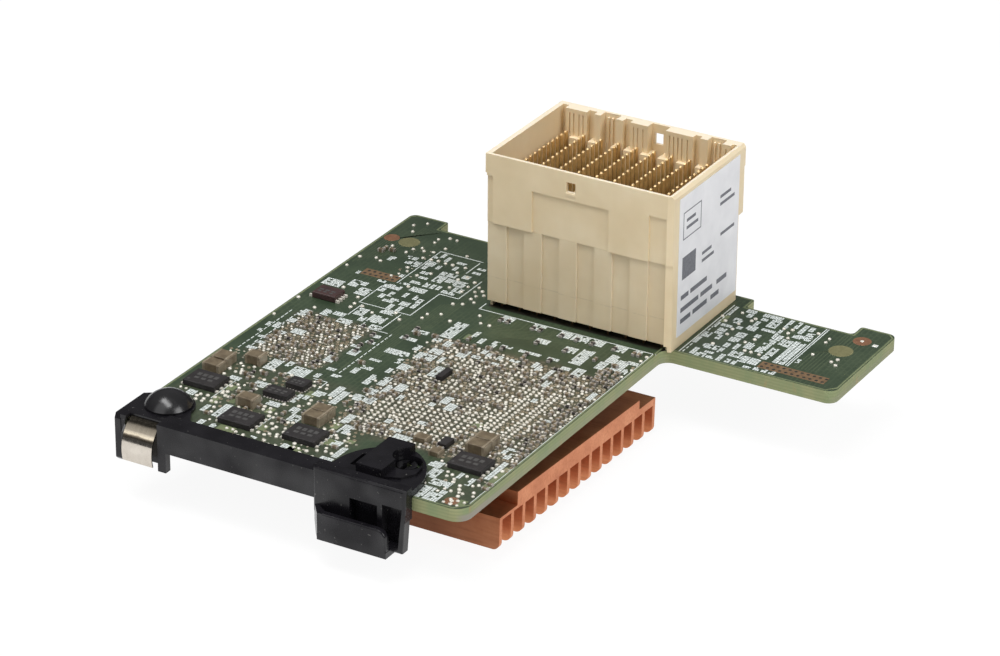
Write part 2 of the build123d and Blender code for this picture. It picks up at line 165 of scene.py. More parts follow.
def board_material():
    m, nt, b = new_mat("solder_mask_board")
    v = coords(nt)
    nz = normal_axis(nt, 2)
    flat = grey(nt, math_node(nt, "ABSOLUTE", nz), 0.0, 1.0, 0.6, 0.8)
    # solder mask: clouded green, browner over the crowded copper fields
    cloud = noise(nt, v, 0.16, 4.0)
    base = ramp(nt, cloud, [(0.30, (0.024, 0.041, 0.021)), (0.55, (0.034, 0.055, 0.029)), (0.78, (0.053, 0.078, 0.042))])
    wob = math_node(nt, "MULTIPLY", math_node(nt, "SUBTRACT", noise(nt, v, 0.45, 3.0), 0.5), 3.5)
    px = math_node(nt, "ADD", axis_of(nt, v, 0), wob)
    py = math_node(nt, "ADD", axis_of(nt, v, 1), wob)
    fields = None
    for box, share in (((-0.2, 29.2, -44.5, -12.0), 1.0), ((-22.6, -10.2, -30.8, -14.9), 1.0), ((-25.2, 7.2, -55.2, -32.8), 0.34), ((18.6, 29.2, -56.2, -43.0), 0.30)):
        one = math_node(nt, "MULTIPLY", region_mask(nt, px, py, *box), share)
        fields = one if fields is None else math_node(nt, "MAXIMUM", fields, one)
    grain = noise(nt, v, 1.3, 4.0, 0.65)
    brown = ramp(nt, grain, [(0.34, (0.036, 0.036, 0.023)), (0.50, (0.075, 0.068, 0.045)), (0.66, (0.150, 0.130, 0.092))])
    face = mix(nt, math_node(nt, "MULTIPLY", fields, 0.85), base, brown)
    # painted shadow: the board's top under the header is darkened to near black
    under = region_mask(nt, axis_of(nt, v, 0), axis_of(nt, v, 1), 0.1, 30.6, 0.25, 21.6, 0.12)
    brick = nt.nodes.new("ShaderNodeTexBrick")
    brick.offset = 0.37
    brick.inputs["Scale"].default_value = 0.33
    brick.inputs["Mortar Size"].default_value = 0.035
    brick.inputs["Mortar Smooth"].default_value = 0.2
    brick.inputs["Color1"].default_value = (0, 0, 0, 1)
    brick.inputs["Color2"].default_value = (0.25, 0.25, 0.25, 1)
    brick.inputs["Mortar"].default_value = (1, 1, 1, 1)
    nt.links.new(coords(nt, 1000.0, (0, 0, math.radians(90))), brick.inputs["Vector"])
    run = math_node(nt, "MULTIPLY", brick.outputs["Color"], grey(nt, noise(nt, v, 0.09, 2.0), 0.0, 0.45, 0.42, 0.62))
    face = mix(nt, run, face, (0.075, 0.100, 0.056))
    face = mix(nt, math_node(nt, "MULTIPLY", under, grey(nt, nz, 0.0, 0.94, 0.5, 0.7)), face, (0.010, 0.008, 0.006))
    # cut edge: laminate in thin layers
    wave = nt.nodes.new("ShaderNodeTexWave")
    wave.bands_direction = "Z"
    wave.inputs["Scale"].default_value = 0.62
    wave.inputs["Distortion"].default_value = 0.6
    wave.inputs["Detail"].default_value = 2.0
    wave.inputs["Detail Scale"].default_value = 2.5
    nt.links.new(v, wave.inputs["Vector"])
    lay = ramp(nt, wave.outputs["Fac"], [(0.0, (0.258, 0.276, 0.134)), (0.5, (0.282, 0.298, 0.148)), (1.0, (0.306, 0.318, 0.162))])
    along = noise(nt, coords(nt, (1000, 1000, 250)), 0.30, 4.0)
    lay = mix(nt, grey(nt, along, 0.0, 0.62, 0.38, 0.68), lay, (0.185, 0.255, 0.125))
    spot = noise(nt, coords(nt, (1000, 1000, 400)), 0.55, 3.0)
    lay = mix(nt, grey(nt, spot, 0.0, 0.5, 0.64, 0.72), lay, (0.40, 0.265, 0.120))
    low = math_node(nt, "MULTIPLY", grey(nt, axis_of(nt, v, 2), 1.0, 0.0, SZ - 1.25, SZ - 0.85), grey(nt, normal_axis(nt, 0), 0.0, 0.8, 0.4, 0.8))
    low = math_node(nt, "MULTIPLY", low, grey(nt, axis_of(nt, v, 1), 1.0, 0.25, SY - 52.0, SY - 40.0))
    lay = mix(nt, low, lay, (0.30, 0.265, 0.235))
    nt.links.new(mix(nt, flat, lay, face), b.inputs["Base Color"])
    fine = noise(nt, v, 5.0, 3.0)
    nt.links.new(grey(nt, flat, 0.72, 0.40), b.inputs["Roughness"])
    b.inputs["Specular IOR Level"].default_value = 0.45
    bump(nt, b, math_node(nt, "ADD", fine, run), 0.25, 0.03)
    return m


def lcp_material(name, lo, mid, hi, seam=None):
    m, nt, b = new_mat(name)
    v = coords(nt)
    blot = noise(nt, v, 0.10, 3.0)
    c = ramp(nt, blot, [(0.30, lo), (0.52, mid), (0.74, hi)])
    flow = noise(nt, coords(nt, (1000, 1000, 220)), 0.55, 3.0, 0.5, 0.2)
    c = mix(nt, grey(nt, flow, 0.0, 0.22, 0.40, 0.70), c, lo)
    # painted top light: the rim and upward faces high on the header are painted paler
    top = math_node(nt, "MULTIPLY", grey(nt, normal_axis(nt, 2), 0.0, 0.60, 0.55, 0.85), grey(nt, axis_of(nt, v, 2), 0.0, 1.0, SZ + 20.0, SZ + 22.0))
    # painted bounce light: inside the header, above the wafer tops, the colour is warmed and lightened
    inside = math_node(nt, "MULTIPLY", region_mask(nt, axis_of(nt, v, 0), axis_of(nt, v, 1), 0.45, 30.3, 0.45, 22.42, 0.05), grey(nt, axis_of(nt, v, 2), 0.0, 0.38, SZ + 14.5, SZ + 15.5))
    c = mix(nt, inside, c, (0.90, 0.70, 0.43))
    c = mix(nt, top, c, (0.90, 0.825, 0.69))
    if seam is not None:
        # painted light: the right-facing steps between neighbouring wafers at the front are painted pale to lift the
        # shade on them
        painted_light_step = math_node(nt, "MULTIPLY", grey(nt, normal_axis(nt, 0), 0.0, 0.65, 0.5, 0.85), grey(nt, axis_of(nt, v, 1), 1.0, 0.0, SY + 0.9, SY + 1.1))
        c = mix(nt, painted_light_step, c, (0.90, 0.80, 0.62))
        # moulding line, broken along its length
        off = math_node(nt, "ABSOLUTE", math_node(nt, "SUBTRACT", axis_of(nt, v, 2), SZ + seam))
        cut = math_node(nt, "MULTIPLY", grey(nt, off, 0.22, 0.0, 0.04, 0.13), grey(nt, noise(nt, v, 0.8, 2.0), 0.2, 1.0, 0.38, 0.52))
        c = mix(nt, cut, c, tuple(0.55 * k for k in lo))
    nt.links.new(c, b.inputs["Base Color"])
    fine = noise(nt, v, 7.0, 3.0)
    nt.links.new(grey(nt, fine, 0.44, 0.60, 0.3, 0.7), b.inputs["Roughness"])
    b.inputs["Specular IOR Level"].default_value = 0.42
    b.inputs["Subsurface Weight"].default_value = 0.10
    b.inputs["Subsurface Radius"].default_value = (0.0008, 0.0005, 0.0003)
    bump(nt, b, fine, 0.10, 0.03)
    return m


def gold_material():
    m, nt, b = new_mat("contact_gold_plate")
    v = coords(nt)
    zz = axis_of(nt, v, 2)
    n = noise(nt, v, 1.4, 3.0)
    body = ramp(nt, n, [(0.3, (0.58, 0.37, 0.135)), (0.7, (0.80, 0.55, 0.235))])
    # painted shade: the contact bodies darken towards the bottom of the housing, where the walls shade them
    body = mix(nt, grey(nt, zz, 0.0, 1.0, SZ + 16.4, SZ + 20.4), (0.115, 0.062, 0.021), body)
    c = mix(nt, grey(nt, zz, 0.0, 1.0, SZ + 21.2, SZ + 21.4), body, (0.74, 0.54, 0.28))
    nt.links.new(c, b.inputs["Base Color"])
    b.inputs["Metallic"].default_value = 0.6
    nt.links.new(grey(nt, n, 0.32, 0.46, 0.3, 0.7), b.inputs["Roughness"])
    bump(nt, b, noise(nt, v, 9.0, 2.0), 0.08, 0.02)
    return m


def copper_material():
    m, nt, b = new_mat("bare_copper")
    v = coords(nt)
    lines = noise(nt, coords(nt, (60, 1000, 1000)), 2.4, 4.0, 0.6)
    blot = noise(nt, v, 0.22, 4.0, 0.6)
    c = ramp(nt, blot, [(0.28, (0.50, 0.165, 0.068)), (0.52, (0.63, 0.240, 0.110)), (0.76, (0.73, 0.315, 0.160))])
    c = mix(nt, grey(nt, lines, 0.0, 0.35, 0.45, 0.75), c, (0.40, 0.135, 0.055))
    # painted shade: front-facing faces at the front end are darkened, most at the left under the board
    front = math_node(nt, "MULTIPLY", grey(nt, normal_axis(nt, 1), 1.0, 0.0, -0.9, -0.6), grey(nt, axis_of(nt, v, 1), 1.0, 0.0, SY - 46.45, SY - 46.2))
    front = math_node(nt, "MULTIPLY", front, grey(nt, axis_of(nt, v, 0), 0.86, 0.50, SX + 19.0, SX + 29.5))
    c = mix(nt, front, c, (0.085, 0.033, 0.018))
    nt.links.new(c, b.inputs["Base Color"])
    b.inputs["Metallic"].default_value = 0.88
    nt.links.new(grey(nt, lines, 0.36, 0.52, 0.3, 0.7), b.inputs["Roughness"])
    bump(nt, b, lines, 0.18, 0.03)
    return m


def black_plastic(name, base, rough, fine=3.2, bump_s=0.22, spec=0.32, dust=0.0, tops=None):
    m, nt, b = new_mat(name)
    v = coords(nt)
    n = noise(nt, v, 0.35, 3.0)
    f = noise(nt, v, fine, 4.0)
    c = ramp(nt, n, [(0.3, tuple(0.75 * k for k in base)), (0.7, tuple(1.35 * k for k in base))])
    if dust:
        # a few pale specks of dust and moulding scuffs
        spots = noise(nt, v, 1.9, 2.0, 0.5)
        c = mix(nt, grey(nt, spots, 0.0, dust, 0.70, 0.76), c, (0.16, 0.155, 0.145))
    nt.links.new(c, b.inputs["Base Color"])
    nt.links.new(grey(nt, f, rough[0], rough[1], 0.3, 0.7), b.inputs["Roughness"])
    if tops is None:
        b.inputs["Specular IOR Level"].default_value = spec
    else:
        sheen = grey(nt, noise(nt, v, 0.13, 2.0), 0.55 * spec, 1.25 * spec, 0.36, 0.62)
        shade = grey(nt, normal_axis(nt, 2), 1.0, tops / spec, 0.45, 0.85)
        nt.links.new(math_node(nt, "MULTIPLY", sheen, shade), b.inputs["Specular IOR Level"])
    bump(nt, b, f, bump_s, 0.03)
    return m


def steel_material():
    m, nt, b = new_mat("spring_strip_steel")
    v = coords(nt)
    lines = noise(nt, coords(nt, (2600, 90, 90)), 1.0, 4.0, 0.6)
    n = noise(nt, v, 0.5, 3.0)
    c = ramp(nt, n, [(0.3, (0.46, 0.425, 0.38)), (0.7, (0.58, 0.545, 0.495))])
    # painted light across the strip: painted shadow where it tucks under the tab, painted highlights on the crest and
    # the lower part, and a painted reflection as the dark band between them
    zz = math_node(nt, "ADD", axis_of(nt, v, 2), math_node(nt, "MULTIPLY", math_node(nt, "SUBTRACT", n, 0.5), 0.35))
    painted_reflection_bands = ramp(nt, grey(nt, zz, 0.0, 1.0, SZ - 3.0, SZ + 0.2), [(0.10, (1.22, 1.20, 1.17)), (0.24, (0.95, 0.93, 0.88)), (0.30, (0.36, 0.33, 0.28)), (0.385, (0.40, 0.36, 0.30)), (0.44, (1.35, 1.28, 1.10)), (0.51, (1.05, 1.0, 0.88)), (0.58, (0.55, 0.52, 0.46)), (0.78, (0.36, 0.34, 0.30)), (0.86, (0.09, 0.085, 0.075))])
    c = mix(nt, 1.0, c, painted_reflection_bands, "MULTIPLY")
    nt.links.new(c, b.inputs["Base Color"])
    b.inputs["Metallic"].default_value = 1.0
    nt.links.new(grey(nt, lines, 0.10, 0.20, 0.3, 0.7), b.inputs["Roughness"])
    bump(nt, b, lines, 0.08, 0.02)
    return m


def label_material():
    m, nt, b = new_mat("sticker_paper")
    v = coords(nt)
    n = noise(nt, v, 0.25, 3.0)
    f = noise(nt, v, 9.0, 4.0)
    nt.links.new(ramp(nt, n, [(0.3, (0.72, 0.72, 0.745)), (0.7, (0.81, 0.81, 0.83))]), b.inputs["Base Color"])
    nt.links.new(grey(nt, f, 0.35, 0.5, 0.3, 0.7), b.inputs["Roughness"])
    bump(nt, b, f, 0.10, 0.015)
    return m


M_BOARD = board_material()
M_LCP = lcp_material("header_moulding", (0.71, 0.575, 0.365), (0.775, 0.643, 0.428), (0.83, 0.715, 0.51))
M_WAFER = lcp_material("wafer_moulding", (0.66, 0.535, 0.345), (0.725, 0.605, 0.41), (0.78, 0.675, 0.48), seam=5.0)
M_GOLD = gold_material()
M_COPPER = copper_material()
M_CLIP = black_plastic("clip_black_satin", (0.0080, 0.0074, 0.0092), (0.17, 0.30), bump_s=0.14, spec=0.42, dust=0.5, tops=0.10)
M_RIVET = black_plastic("rivet_black_gloss", (0.007, 0.0066, 0.0078), (0.19, 0.27), 2.2, 0.05, spec=0.5)
M_STEEL = steel_material()
M_LABEL = label_material()
M_EPOXY = plain("chip_moulding", [(0.3, (0.017, 0.0150, 0.0155)), (0.7, (0.030, 0.0265, 0.0270))], (0.46, 0.66), fine=9.0, bump_s=0.35, bump_mm=0.03, spec=0.35)
M_MEMORY = plain("memory_moulding", [(0.3, (0.030, 0.016, 0.016)), (0.7, (0.065, 0.030, 0.028))], (0.35, 0.55), fine=9.0, bump_s=0.3, bump_mm=0.03)
M_TIN = plain("bright_tin", [(0.3, (0.66, 0.625, 0.545)), (0.7, (0.84, 0.81, 0.73))], (0.22, 0.38), metallic=0.2, scale=1.2, fine=4.0, bump_s=0.10, bump_mm=0.03)
M_TAN = plain("capacitor_body", [(0.3, (0.100, 0.074, 0.044)), (0.7, (0.178, 0.138, 0.086))], (0.32, 0.5), scale=0.9, fine=7.0, bump_s=0.12, bump_mm=0.03)
M_TERM = plain("plated_end", [(0.3, (0.30, 0.275, 0.25)), (0.7, (0.50, 0.47, 0.43))], (0.30, 0.48), metallic=0.35, scale=1.2, fine=6.0, bump_s=0.2, bump_mm=0.03)
M_CAPEND = plain("tan_plated_end", [(0.3, (0.215, 0.172, 0.120)), (0.7, (0.370, 0.315, 0.230))], (0.28, 0.44), metallic=0.25, scale=1.2, fine=6.0, bump_s=0.15, bump_mm=0.03)
M_RES = plain("resistor_film", [(0.3, (0.020, 0.018, 0.017)), (0.7, (0.042, 0.036, 0.034))], (0.3, 0.5), scale=1.2, fine=7.0)
M_FERRITE = plain("pressed_core", [(0.3, (0.045, 0.045, 0.047)), (0.7, (0.085, 0.084, 0.082))], (0.5, 0.75), scale=1.5, fine=5.0, bump_s=0.4, bump_mm=0.04)
M_PAD = plain("gap_filler", [(0.3, (0.20, 0.21, 0.23)), (0.7, (0.30, 0.31, 0.33))], (0.6, 0.8), scale=0.7, fine=5.0, bump_s=0.4, bump_mm=0.05)
M_PKG = plain("package_laminate", [(0.3, (0.020, 0.055, 0.030)), (0.7, (0.035, 0.085, 0.045))], (0.4, 0.55), scale=0.7)
M_LID = plain("nickel_lid", [(0.3, (0.48, 0.47, 0.45)), (0.7, (0.62, 0.61, 0.59))], (0.28, 0.42), metallic=1.0, scale=0.4, stretch=(0.1, 1, 1))
M_SILK = plain("silk_print", [(0.3, (0.52, 0.57, 0.555)), (0.7, (0.74, 0.78, 0.765))], (0.55, 0.75), scale=2.2, fine=9.0, bump_s=0.25, bump_mm=0.02)
M_RING = plain("covered_via", [(0.25, (0.17, 0.135, 0.085)), (0.5, (0.30, 0.245, 0.165)), (0.75, (0.46, 0.40, 0.295))], (0.30, 0.46), scale=0.8, fine=6.0, metallic=0.25)
M_LAND = plain("solder_land", [(0.3, (0.30, 0.26, 0.195)), (0.5, (0.46, 0.42, 0.34)), (0.7, (0.68, 0.65, 0.57))], (0.26, 0.42), scale=1.6, fine=6.0, metallic=0.2)
M_TINY = plain("small_capacitor_body", [(0.3, (0.13, 0.098, 0.062)), (0.7, (0.25, 0.20, 0.135))], (0.32, 0.5), scale=1.2, fine=7.0, bump_s=0.12, bump_mm=0.03)
M_HOLE = plain("via_hole", [(0.3, (0.012, 0.014, 0.010)), (0.7, (0.035, 0.034, 0.024))], (0.4, 0.6), scale=2.0)
M_TRACK = plain("covered_track", [(0.3, (0.046, 0.068, 0.036)), (0.7, (0.078, 0.104, 0.056))], (0.34, 0.46), scale=0.5)
M_POUR = plain("bare_laminate", [(0.3, (0.12, 0.150, 0.075)), (0.7, (0.19, 0.220, 0.115))], (0.4, 0.55), scale=0.8)
M_SERP = plain("orange_copper", [(0.3, (0.17, 0.105, 0.055)), (0.7, (0.26, 0.165, 0.090))], (0.34, 0.48), scale=1.1, metallic=0.3)
M_OLIVE = plain("olive_disc", [(0.3, (0.145, 0.140, 0.062)), (0.7, (0.19, 0.182, 0.088))], (0.34, 0.46), scale=1.1)
M_RED = plain("reddish_disc", [(0.3, (0.155, 0.070, 0.035)), (0.7, (0.235, 0.115, 0.060))], (0.34, 0.46), scale=1.1)
M_MARK = plain("laser_mark", [(0.3, (0.045, 0.044, 0.043)), (0.7, (0.075, 0.072, 0.070))], (0.5, 0.7), scale=3.0)
M_INK = plain("grey_print", [(0.3, (0.10, 0.105, 0.125)), (0.7, (0.17, 0.175, 0.20))], (0.45, 0.6), scale=3.0)
M_CASE = plain("moulded_case", [(0.3, (0.035, 0.030, 0.026)), (0.7, (0.060, 0.052, 0.045))], (0.45, 0.6), scale=0.8)
M_CAN = plain("drawn_can", [(0.3, (0.60, 0.60, 0.59)), (0.7, (0.74, 0.74, 0.72))], (0.24, 0.38), metallic=1.0, scale=0.6, stretch=(1, 0.2, 1))

NODE_MATS = {
    "circuit_board": M_BOARD, "connector_housing": M_LCP, "side_label": M_LABEL, "heat_sink": M_COPPER,
    "controller_substrate": M_PKG, "controller_lid": M_LID, "thermal_pad": M_PAD, "edge_clip": M_CLIP,
    "dome_rivet": M_RIVET, "snap_pin": M_RIVET, "grounding_spring": M_STEEL, "power_transistors": M_EPOXY,
    "transistor_leads": M_TIN, "driver_chip": M_EPOXY, "regulator_chip": M_EPOXY, "memory_chip": M_MEMORY,
    "memory_leads": M_TIN, "large_capacitors": M_TAN, "small_diodes": M_EPOXY, "small_capacitors": M_TAN,
    "chip_resistors": M_RES, "companion_chip": M_EPOXY, "power_inductors": M_FERRITE,
    "polymer_capacitors": M_CASE, "clock_crystal": M_CAN, "underside_chips": M_EPOXY}
for name, ob in NODES.items():
    if name.startswith("contact_wafer"):
        mt = M_WAFER
    elif name.startswith("contact_leads"):
        mt = M_GOLD
    else:
        mt = NODE_MATS[name]
    ob.data.materials.clear()
    ob.data.materials.append(mt)


def soften(name, width_mm, segments=2, angle=35.0):
    ob = NODES[name]
    w = ob.modifiers.new("weld", "WELD")
    w.merge_threshold = 0.000002
    b = ob.modifiers.new("edge", "BEVEL")
    b.width = width_mm * MM
    b.segments = segments
    b.limit_method = "ANGLE"
    b.angle_limit = math.radians(angle)
    b.use_clamp_overlap = True
    b.harden_normals = False


soften("edge_clip", 0.18, 3)
soften("connector_housing", 0.09)
for k in range(1, 11):
    soften("contact_wafer_%02d" % k, 0.035)
soften("heat_sink", 0.07)
soften("circuit_board", 0.08)


# ------------------------------------------------------------- mesh building
class Build:
    """Collects faces in drawing-frame millimetres and turns them into one piece."""

    def __init__(self):
        self.v = []
        self.f = []
        self.smooth = []

    def add(self, pts, faces, smooth=False):
        n = len(self.v)
        self.v.extend(pts)
        for f in faces:
            self.f.append(tuple(n + i for i in f))
            self.smooth.append(smooth)

    def box(self, x0, x1, y0, y1, z0, z1, c=0.0, down=False):
        """Box whose free end (top, or bottom when down) has chamfered edges and corners eased."""
        zc = z1 - c if not down else z0 + c
        ze, zb = (z1, z0) if not down else (z0, z1)
        k = c * 0.6
        ring = [(x0 + k, y0), (x1 - k, y0), (x1, y0 + k), (x1, y1 - k), (x1 - k, y1), (x0 + k, y1), (x0, y1 - k), (x0, y0 + k)]
        if c <= 0:
            ring = [(x0, y0), (x1, y0), (x1, y1), (x0, y1)]
            pts = [(*q, zb) for q in ring] + [(*q, ze) for q in ring]
            n = 4
            faces = [(i, (i + 1) % n, n + (i + 1) % n, n + i) for i in range(n)] + [tuple(n + i for i in range(n)), tuple(reversed(range(n)))]
        else:
            cx, cy = (x0 + x1) / 2, (y0 + y1) / 2
            sx, sy = 1 - 2 * c / (x1 - x0), 1 - 2 * c / (y1 - y0)
            inner = [(cx + (q[0] - cx) * sx, cy + (q[1] - cy) * sy) for q in ring]
            n = 8
            pts = [(*q, zb) for q in ring] + [(*q, zc) for q in ring] + [(*q, ze) for q in inner]
            faces = []
            for lvl in (0, n):
                faces += [(lvl + i, lvl + (i + 1) % n, lvl + n + (i + 1) % n, lvl + n + i) for i in range(n)]
            faces += [tuple(2 * n + i for i in range(n)), tuple(reversed(range(n)))]
        if down:
            faces = [tuple(reversed(f)) for f in faces]
        self.add(pts, faces)

    def dome(self, x, y, r, z, h, n=8, ph=0.0):
        pts, faces = [], []
        for rr, zz in ((1.0, 0.0), (0.94, 0.55), (0.62, 0.90)):
            for i in range(n):
                a = ph + 2 * math.pi * i / n
                pts.append((x + r * rr * math.cos(a), y + r * rr * math.sin(a), z + h * zz))
        pts.append((x, y, z + h))
        for lvl in (0, n):
            faces += [(lvl + i, lvl + (i + 1) % n, lvl + n + (i + 1) % n, lvl + n + i) for i in range(n)]
        faces += [(2 * n + i, 2 * n + (i + 1) % n, 3 * n) for i in range(n)]
        if h < 0:
            faces = [tuple(reversed(f)) for f in faces]
        self.add(pts, faces, True)

    def ring(self, x, y, ro, ri, z, h, n=10, ph=0.0):
        pts, faces = [], []
        for rr, zz in ((ro, 0.0), (ro * 0.94, h), (ri * 1.1, h), (ri, h * 0.15)):
            for i in range(n):
                a = ph + 2 * math.pi * i / n
                pts.append((x + rr * math.cos(a), y + rr * math.sin(a), z + zz))
        for lvl in (0, n, 2 * n):
            faces += [(lvl + i, lvl + (i + 1) % n, lvl + n + (i + 1) % n, lvl + n + i) for i in range(n)]
        if h < 0:
            faces = [tuple(reversed(f)) for f in faces]
        self.add(pts, faces, True)

    def disc(self, x, y, r, z, n=20, edge=0.02):
        pts = [(x + r * math.cos(2 * math.pi * i / n), y + r * math.sin(2 * math.pi * i / n), z) for i in range(n)]
        pts += [(x + 0.96 * r * math.cos(2 * math.pi * i / n), y + 0.96 * r * math.sin(2 * math.pi * i / n), z + edge) for i in range(n)]
        faces = [(i, (i + 1) % n, n + (i + 1) % n, n + i) for i in range(n)] + [tuple(n + i for i in range(n))]
        if edge < 0:
            faces = [tuple(reversed(f)) for f in faces]
        self.add(pts, faces)

    def plate(self, x0, x1, y0, y1, z, t=0.012):
        """Printed patch: thin plate with no underside."""
        zz = z + t
        pts = [(x0, y0, z), (x1, y0, z), (x1, y1, z), (x0, y1, z), (x0, y0, zz), (x1, y0, zz), (x1, y1, zz), (x0, y1, zz)]
        faces = [(4, 5, 6, 7), (0, 1, 5, 4), (1, 2, 6, 5), (2, 3, 7, 6), (3, 0, 4, 7)]
        if t < 0:
            faces = [tuple(reversed(f)) for f in faces]
        self.add(pts, faces)

    def run(self, pts, w, z, t=0.012):
        """Printed or etched line along a route, mitred at its bends."""
        n = len(pts)
        left, right = [], []
        for i, p in enumerate(pts):
            a = Vector(pts[max(i - 1, 0)]) - Vector(p)
            b = Vector(pts[min(i + 1, n - 1)]) - Vector(p)
            d = Vector((0, 0))
            if i > 0:
                d -= a.normalized()
            if i < n - 1:
                d += b.normalized()
            d.normalize()
            nrm = Vector((-d.y, d.x))
            seg = (-a if i > 0 else b).normalized()
            cosv = max(0.5, abs(nrm.dot(Vector((-seg.y, seg.x)))))
            off = nrm * (w / 2 / cosv)
            left.append((p[0] + off.x, p[1] + off.y))
            right.append((p[0] - off.x, p[1] - off.y))
        vs = [(*q, z) for q in left] + [(*q, z) for q in right] + [(*q, z + t) for q in left] + [(*q, z + t) for q in right]
        fs = []
        for i in range(n - 1):
            fs.append((2 * n + i, 3 * n + i, 3 * n + i + 1, 2 * n + i + 1))
            fs.append((i, 2 * n + i, 2 * n + i + 1, i + 1))
            fs.append((n + i, n + i + 1, 3 * n + i + 1, 3 * n + i))
        if t < 0:
            fs = [tuple(reversed(f)) for f in fs]
        self.add(vs, fs)

    def piece(self, name, mat, smooth_angle=None):
        me = bpy.data.meshes.new(name)
        me.from_pydata([P(*q) for q in self.v], [], self.f)
        me.polygons.foreach_set("use_smooth", self.smooth)
        me.update()
        ob = bpy.data.objects.new(name, me)
        bpy.context.scene.collection.objects.link(ob)
        me.materials.append(mat)
        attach(ob, "root")
        return ob


rng = random.Random(20117)

# ------------------------------------------------------ what stands on the board
POWER = [(-24.45, -44.5), (-13.65, -51.8), (-3.15, -51.3), (21.05, -46.7)]
PW, PD, PH = 5.45, 4.0, 0.95
BIG = [
    (-14.4, -11.4, -46.0, -43.9, 1.5), (-3.4, -0.4, -45.8, -43.75, 1.5),
    (-3.4, -0.4, -43.6, -41.5, 1.5), (-24.6, -21.7, -39.3, -37.3, 1.4),
    (-24.6, -21.9, -36.9, -34.3, 1.4), (-20.6, -18.0, -34.2, -32.1, 1.5),
    (20.8, 23.9, -41.4, -39.3, 1.5), (20.8, 23.9, -39.1, -37.0, 1.5),
    (12.9, 15.1, -42.4, -40.8, 0.8), (16.9, 18.7, -44.9, -43.4, 0.8)]
SMALL_C = [(3.8, -43.4), (-16.6, -36.2), (-18.8, -37.6), (-15.9, -40.2), (4.6, -15.3), (-1.6, -13.2),
           (-4.4, -13.8), (7.2, -12.6), (1.6, -28.0), (6.9, -27.0), (-1.0, -33.2), (-22.3, -24.0),
           (-10.4, -27.0), (-6.4, -26.0), (25.8, -8.2), (20.6, -14.8), (-22.6, 9.0), (-24.0, 8.0)]
SMALL_R = [(4.1, -3.6), (5.3, -3.6), (9.6, -3.6), (10.8, -3.6), (14.4, -3.6), (17.0, -3.6), (19.6, -3.6),
           (23.2, -3.4), (12.4, -7.4), (17.3, -7.6), (9.0, -11.6), (13.0, -11.6), (16.9, -11.6),
           (-5.0, -15.8), (-5.0, -12.6), (-9.6, -17.6), (-8.6, -19.8), (-9.4, -21.4), (-9.0, -23.2)]

KEEP = [(-0.5, 31.2, -0.9, 23.0), (-12.6, -8.6, -41.7, -39.3), (-11.2, -8.2, -37.9, -35.4), (-24.6, -19.2, -10.9, -7.8),
        (16.8, 18.2, -42.2, -39.9), (6.0, 7.0, -24.6, -21.5), (-28.0, -18.1, -58.0, -47.7), (-18.6, -16.4, -55.6, -51.2), (-20.0, 21.3, -58.0, -54.8),
        (7.2, 21.2, -56.0, -53.0), (9.4, 19.3, -53.0, -46.2), (8.2, 20.4, -53.5, -48.5)]
KEEP += [(x - 0.5, x + PW + 0.5, y - 0.05, y + PD + 0.05) for x, y in POWER]
KEEP += [b[:4] for b in BIG]
KEEP += [(x, x + 1.0, y, y + 0.55) for x, y in SMALL_C]
KEEP += [(x, x + 0.55, y, y + 1.0) for x, y in SMALL_R]
taken = {}


def cells(x0, x1, y0, y1):
    for i in range(int(math.floor(x0)), int(math.floor(x1)) + 1):
        for j in range(int(math.floor(y0)), int(math.floor(y1)) + 1):
            yield (i, j)


def free(x0, x1, y0, y1, side="top"):
    for k in KEEP if side == "top" else KEEP_LOW:
        if x0 < k[1] and x1 > k[0] and y0 < k[3] and y1 > k[2]:
            return False
    for c in cells(x0, x1, y0, y1):
        for k in taken.get((side, *c), ()):
            if x0 < k[1] and x1 > k[0] and y0 < k[3] and y1 > k[2]:
                return False
    return True


def take(x0, x1, y0, y1, side="top"):
    for c in cells(x0, x1, y0, y1):
        taken.setdefault((side, *c), []).append((x0, x1, y0, y1))


silk = Build()
dots = Build()
rings = Build()
holes = Build()
tan = Build()
ends = Build()
res = Build()
pours = Build()
lands = Build()
tracks = Build()
Z = 0.004


def bars(x0, x1, y0, y1, row=0.38, fill=0.80, seed=None, along="y"):
    """Printed block: rows of plain bars of uneven length."""
    r = random.Random(seed if seed is not None else rng.random())
    if along == "y":
        n = max(1, round((x1 - x0) / row))
        w = (x1 - x0) / n
        for i in range(n):
            a = x0 + w * i + w * 0.07
            b = x0 + w * (i + 1) - w * 0.07
            y = y0
            while y < y1 - 0.08:
                L = min(r.uniform(0.16, 0.62), y1 - y)
                if r.random() < fill:
                    silk.plate(a, b, y, y + L, Z)
                y += L + r.uniform(0.05, 0.12)
    else:
        n = max(1, round((y1 - y0) / row))
        w = (y1 - y0) / n
        for i in range(n):
            a = y0 + w * i + w * 0.07
            b = y0 + w * (i + 1) - w * 0.07
            x = x0
            while x < x1 - 0.08:
                L = min(r.uniform(0.16, 0.62), x1 - x)
                if r.random() < fill:
                    silk.plate(x, x + L, a, b, Z)
                x += L + r.uniform(0.05, 0.12)
    take(x0, x1, y0, y1)


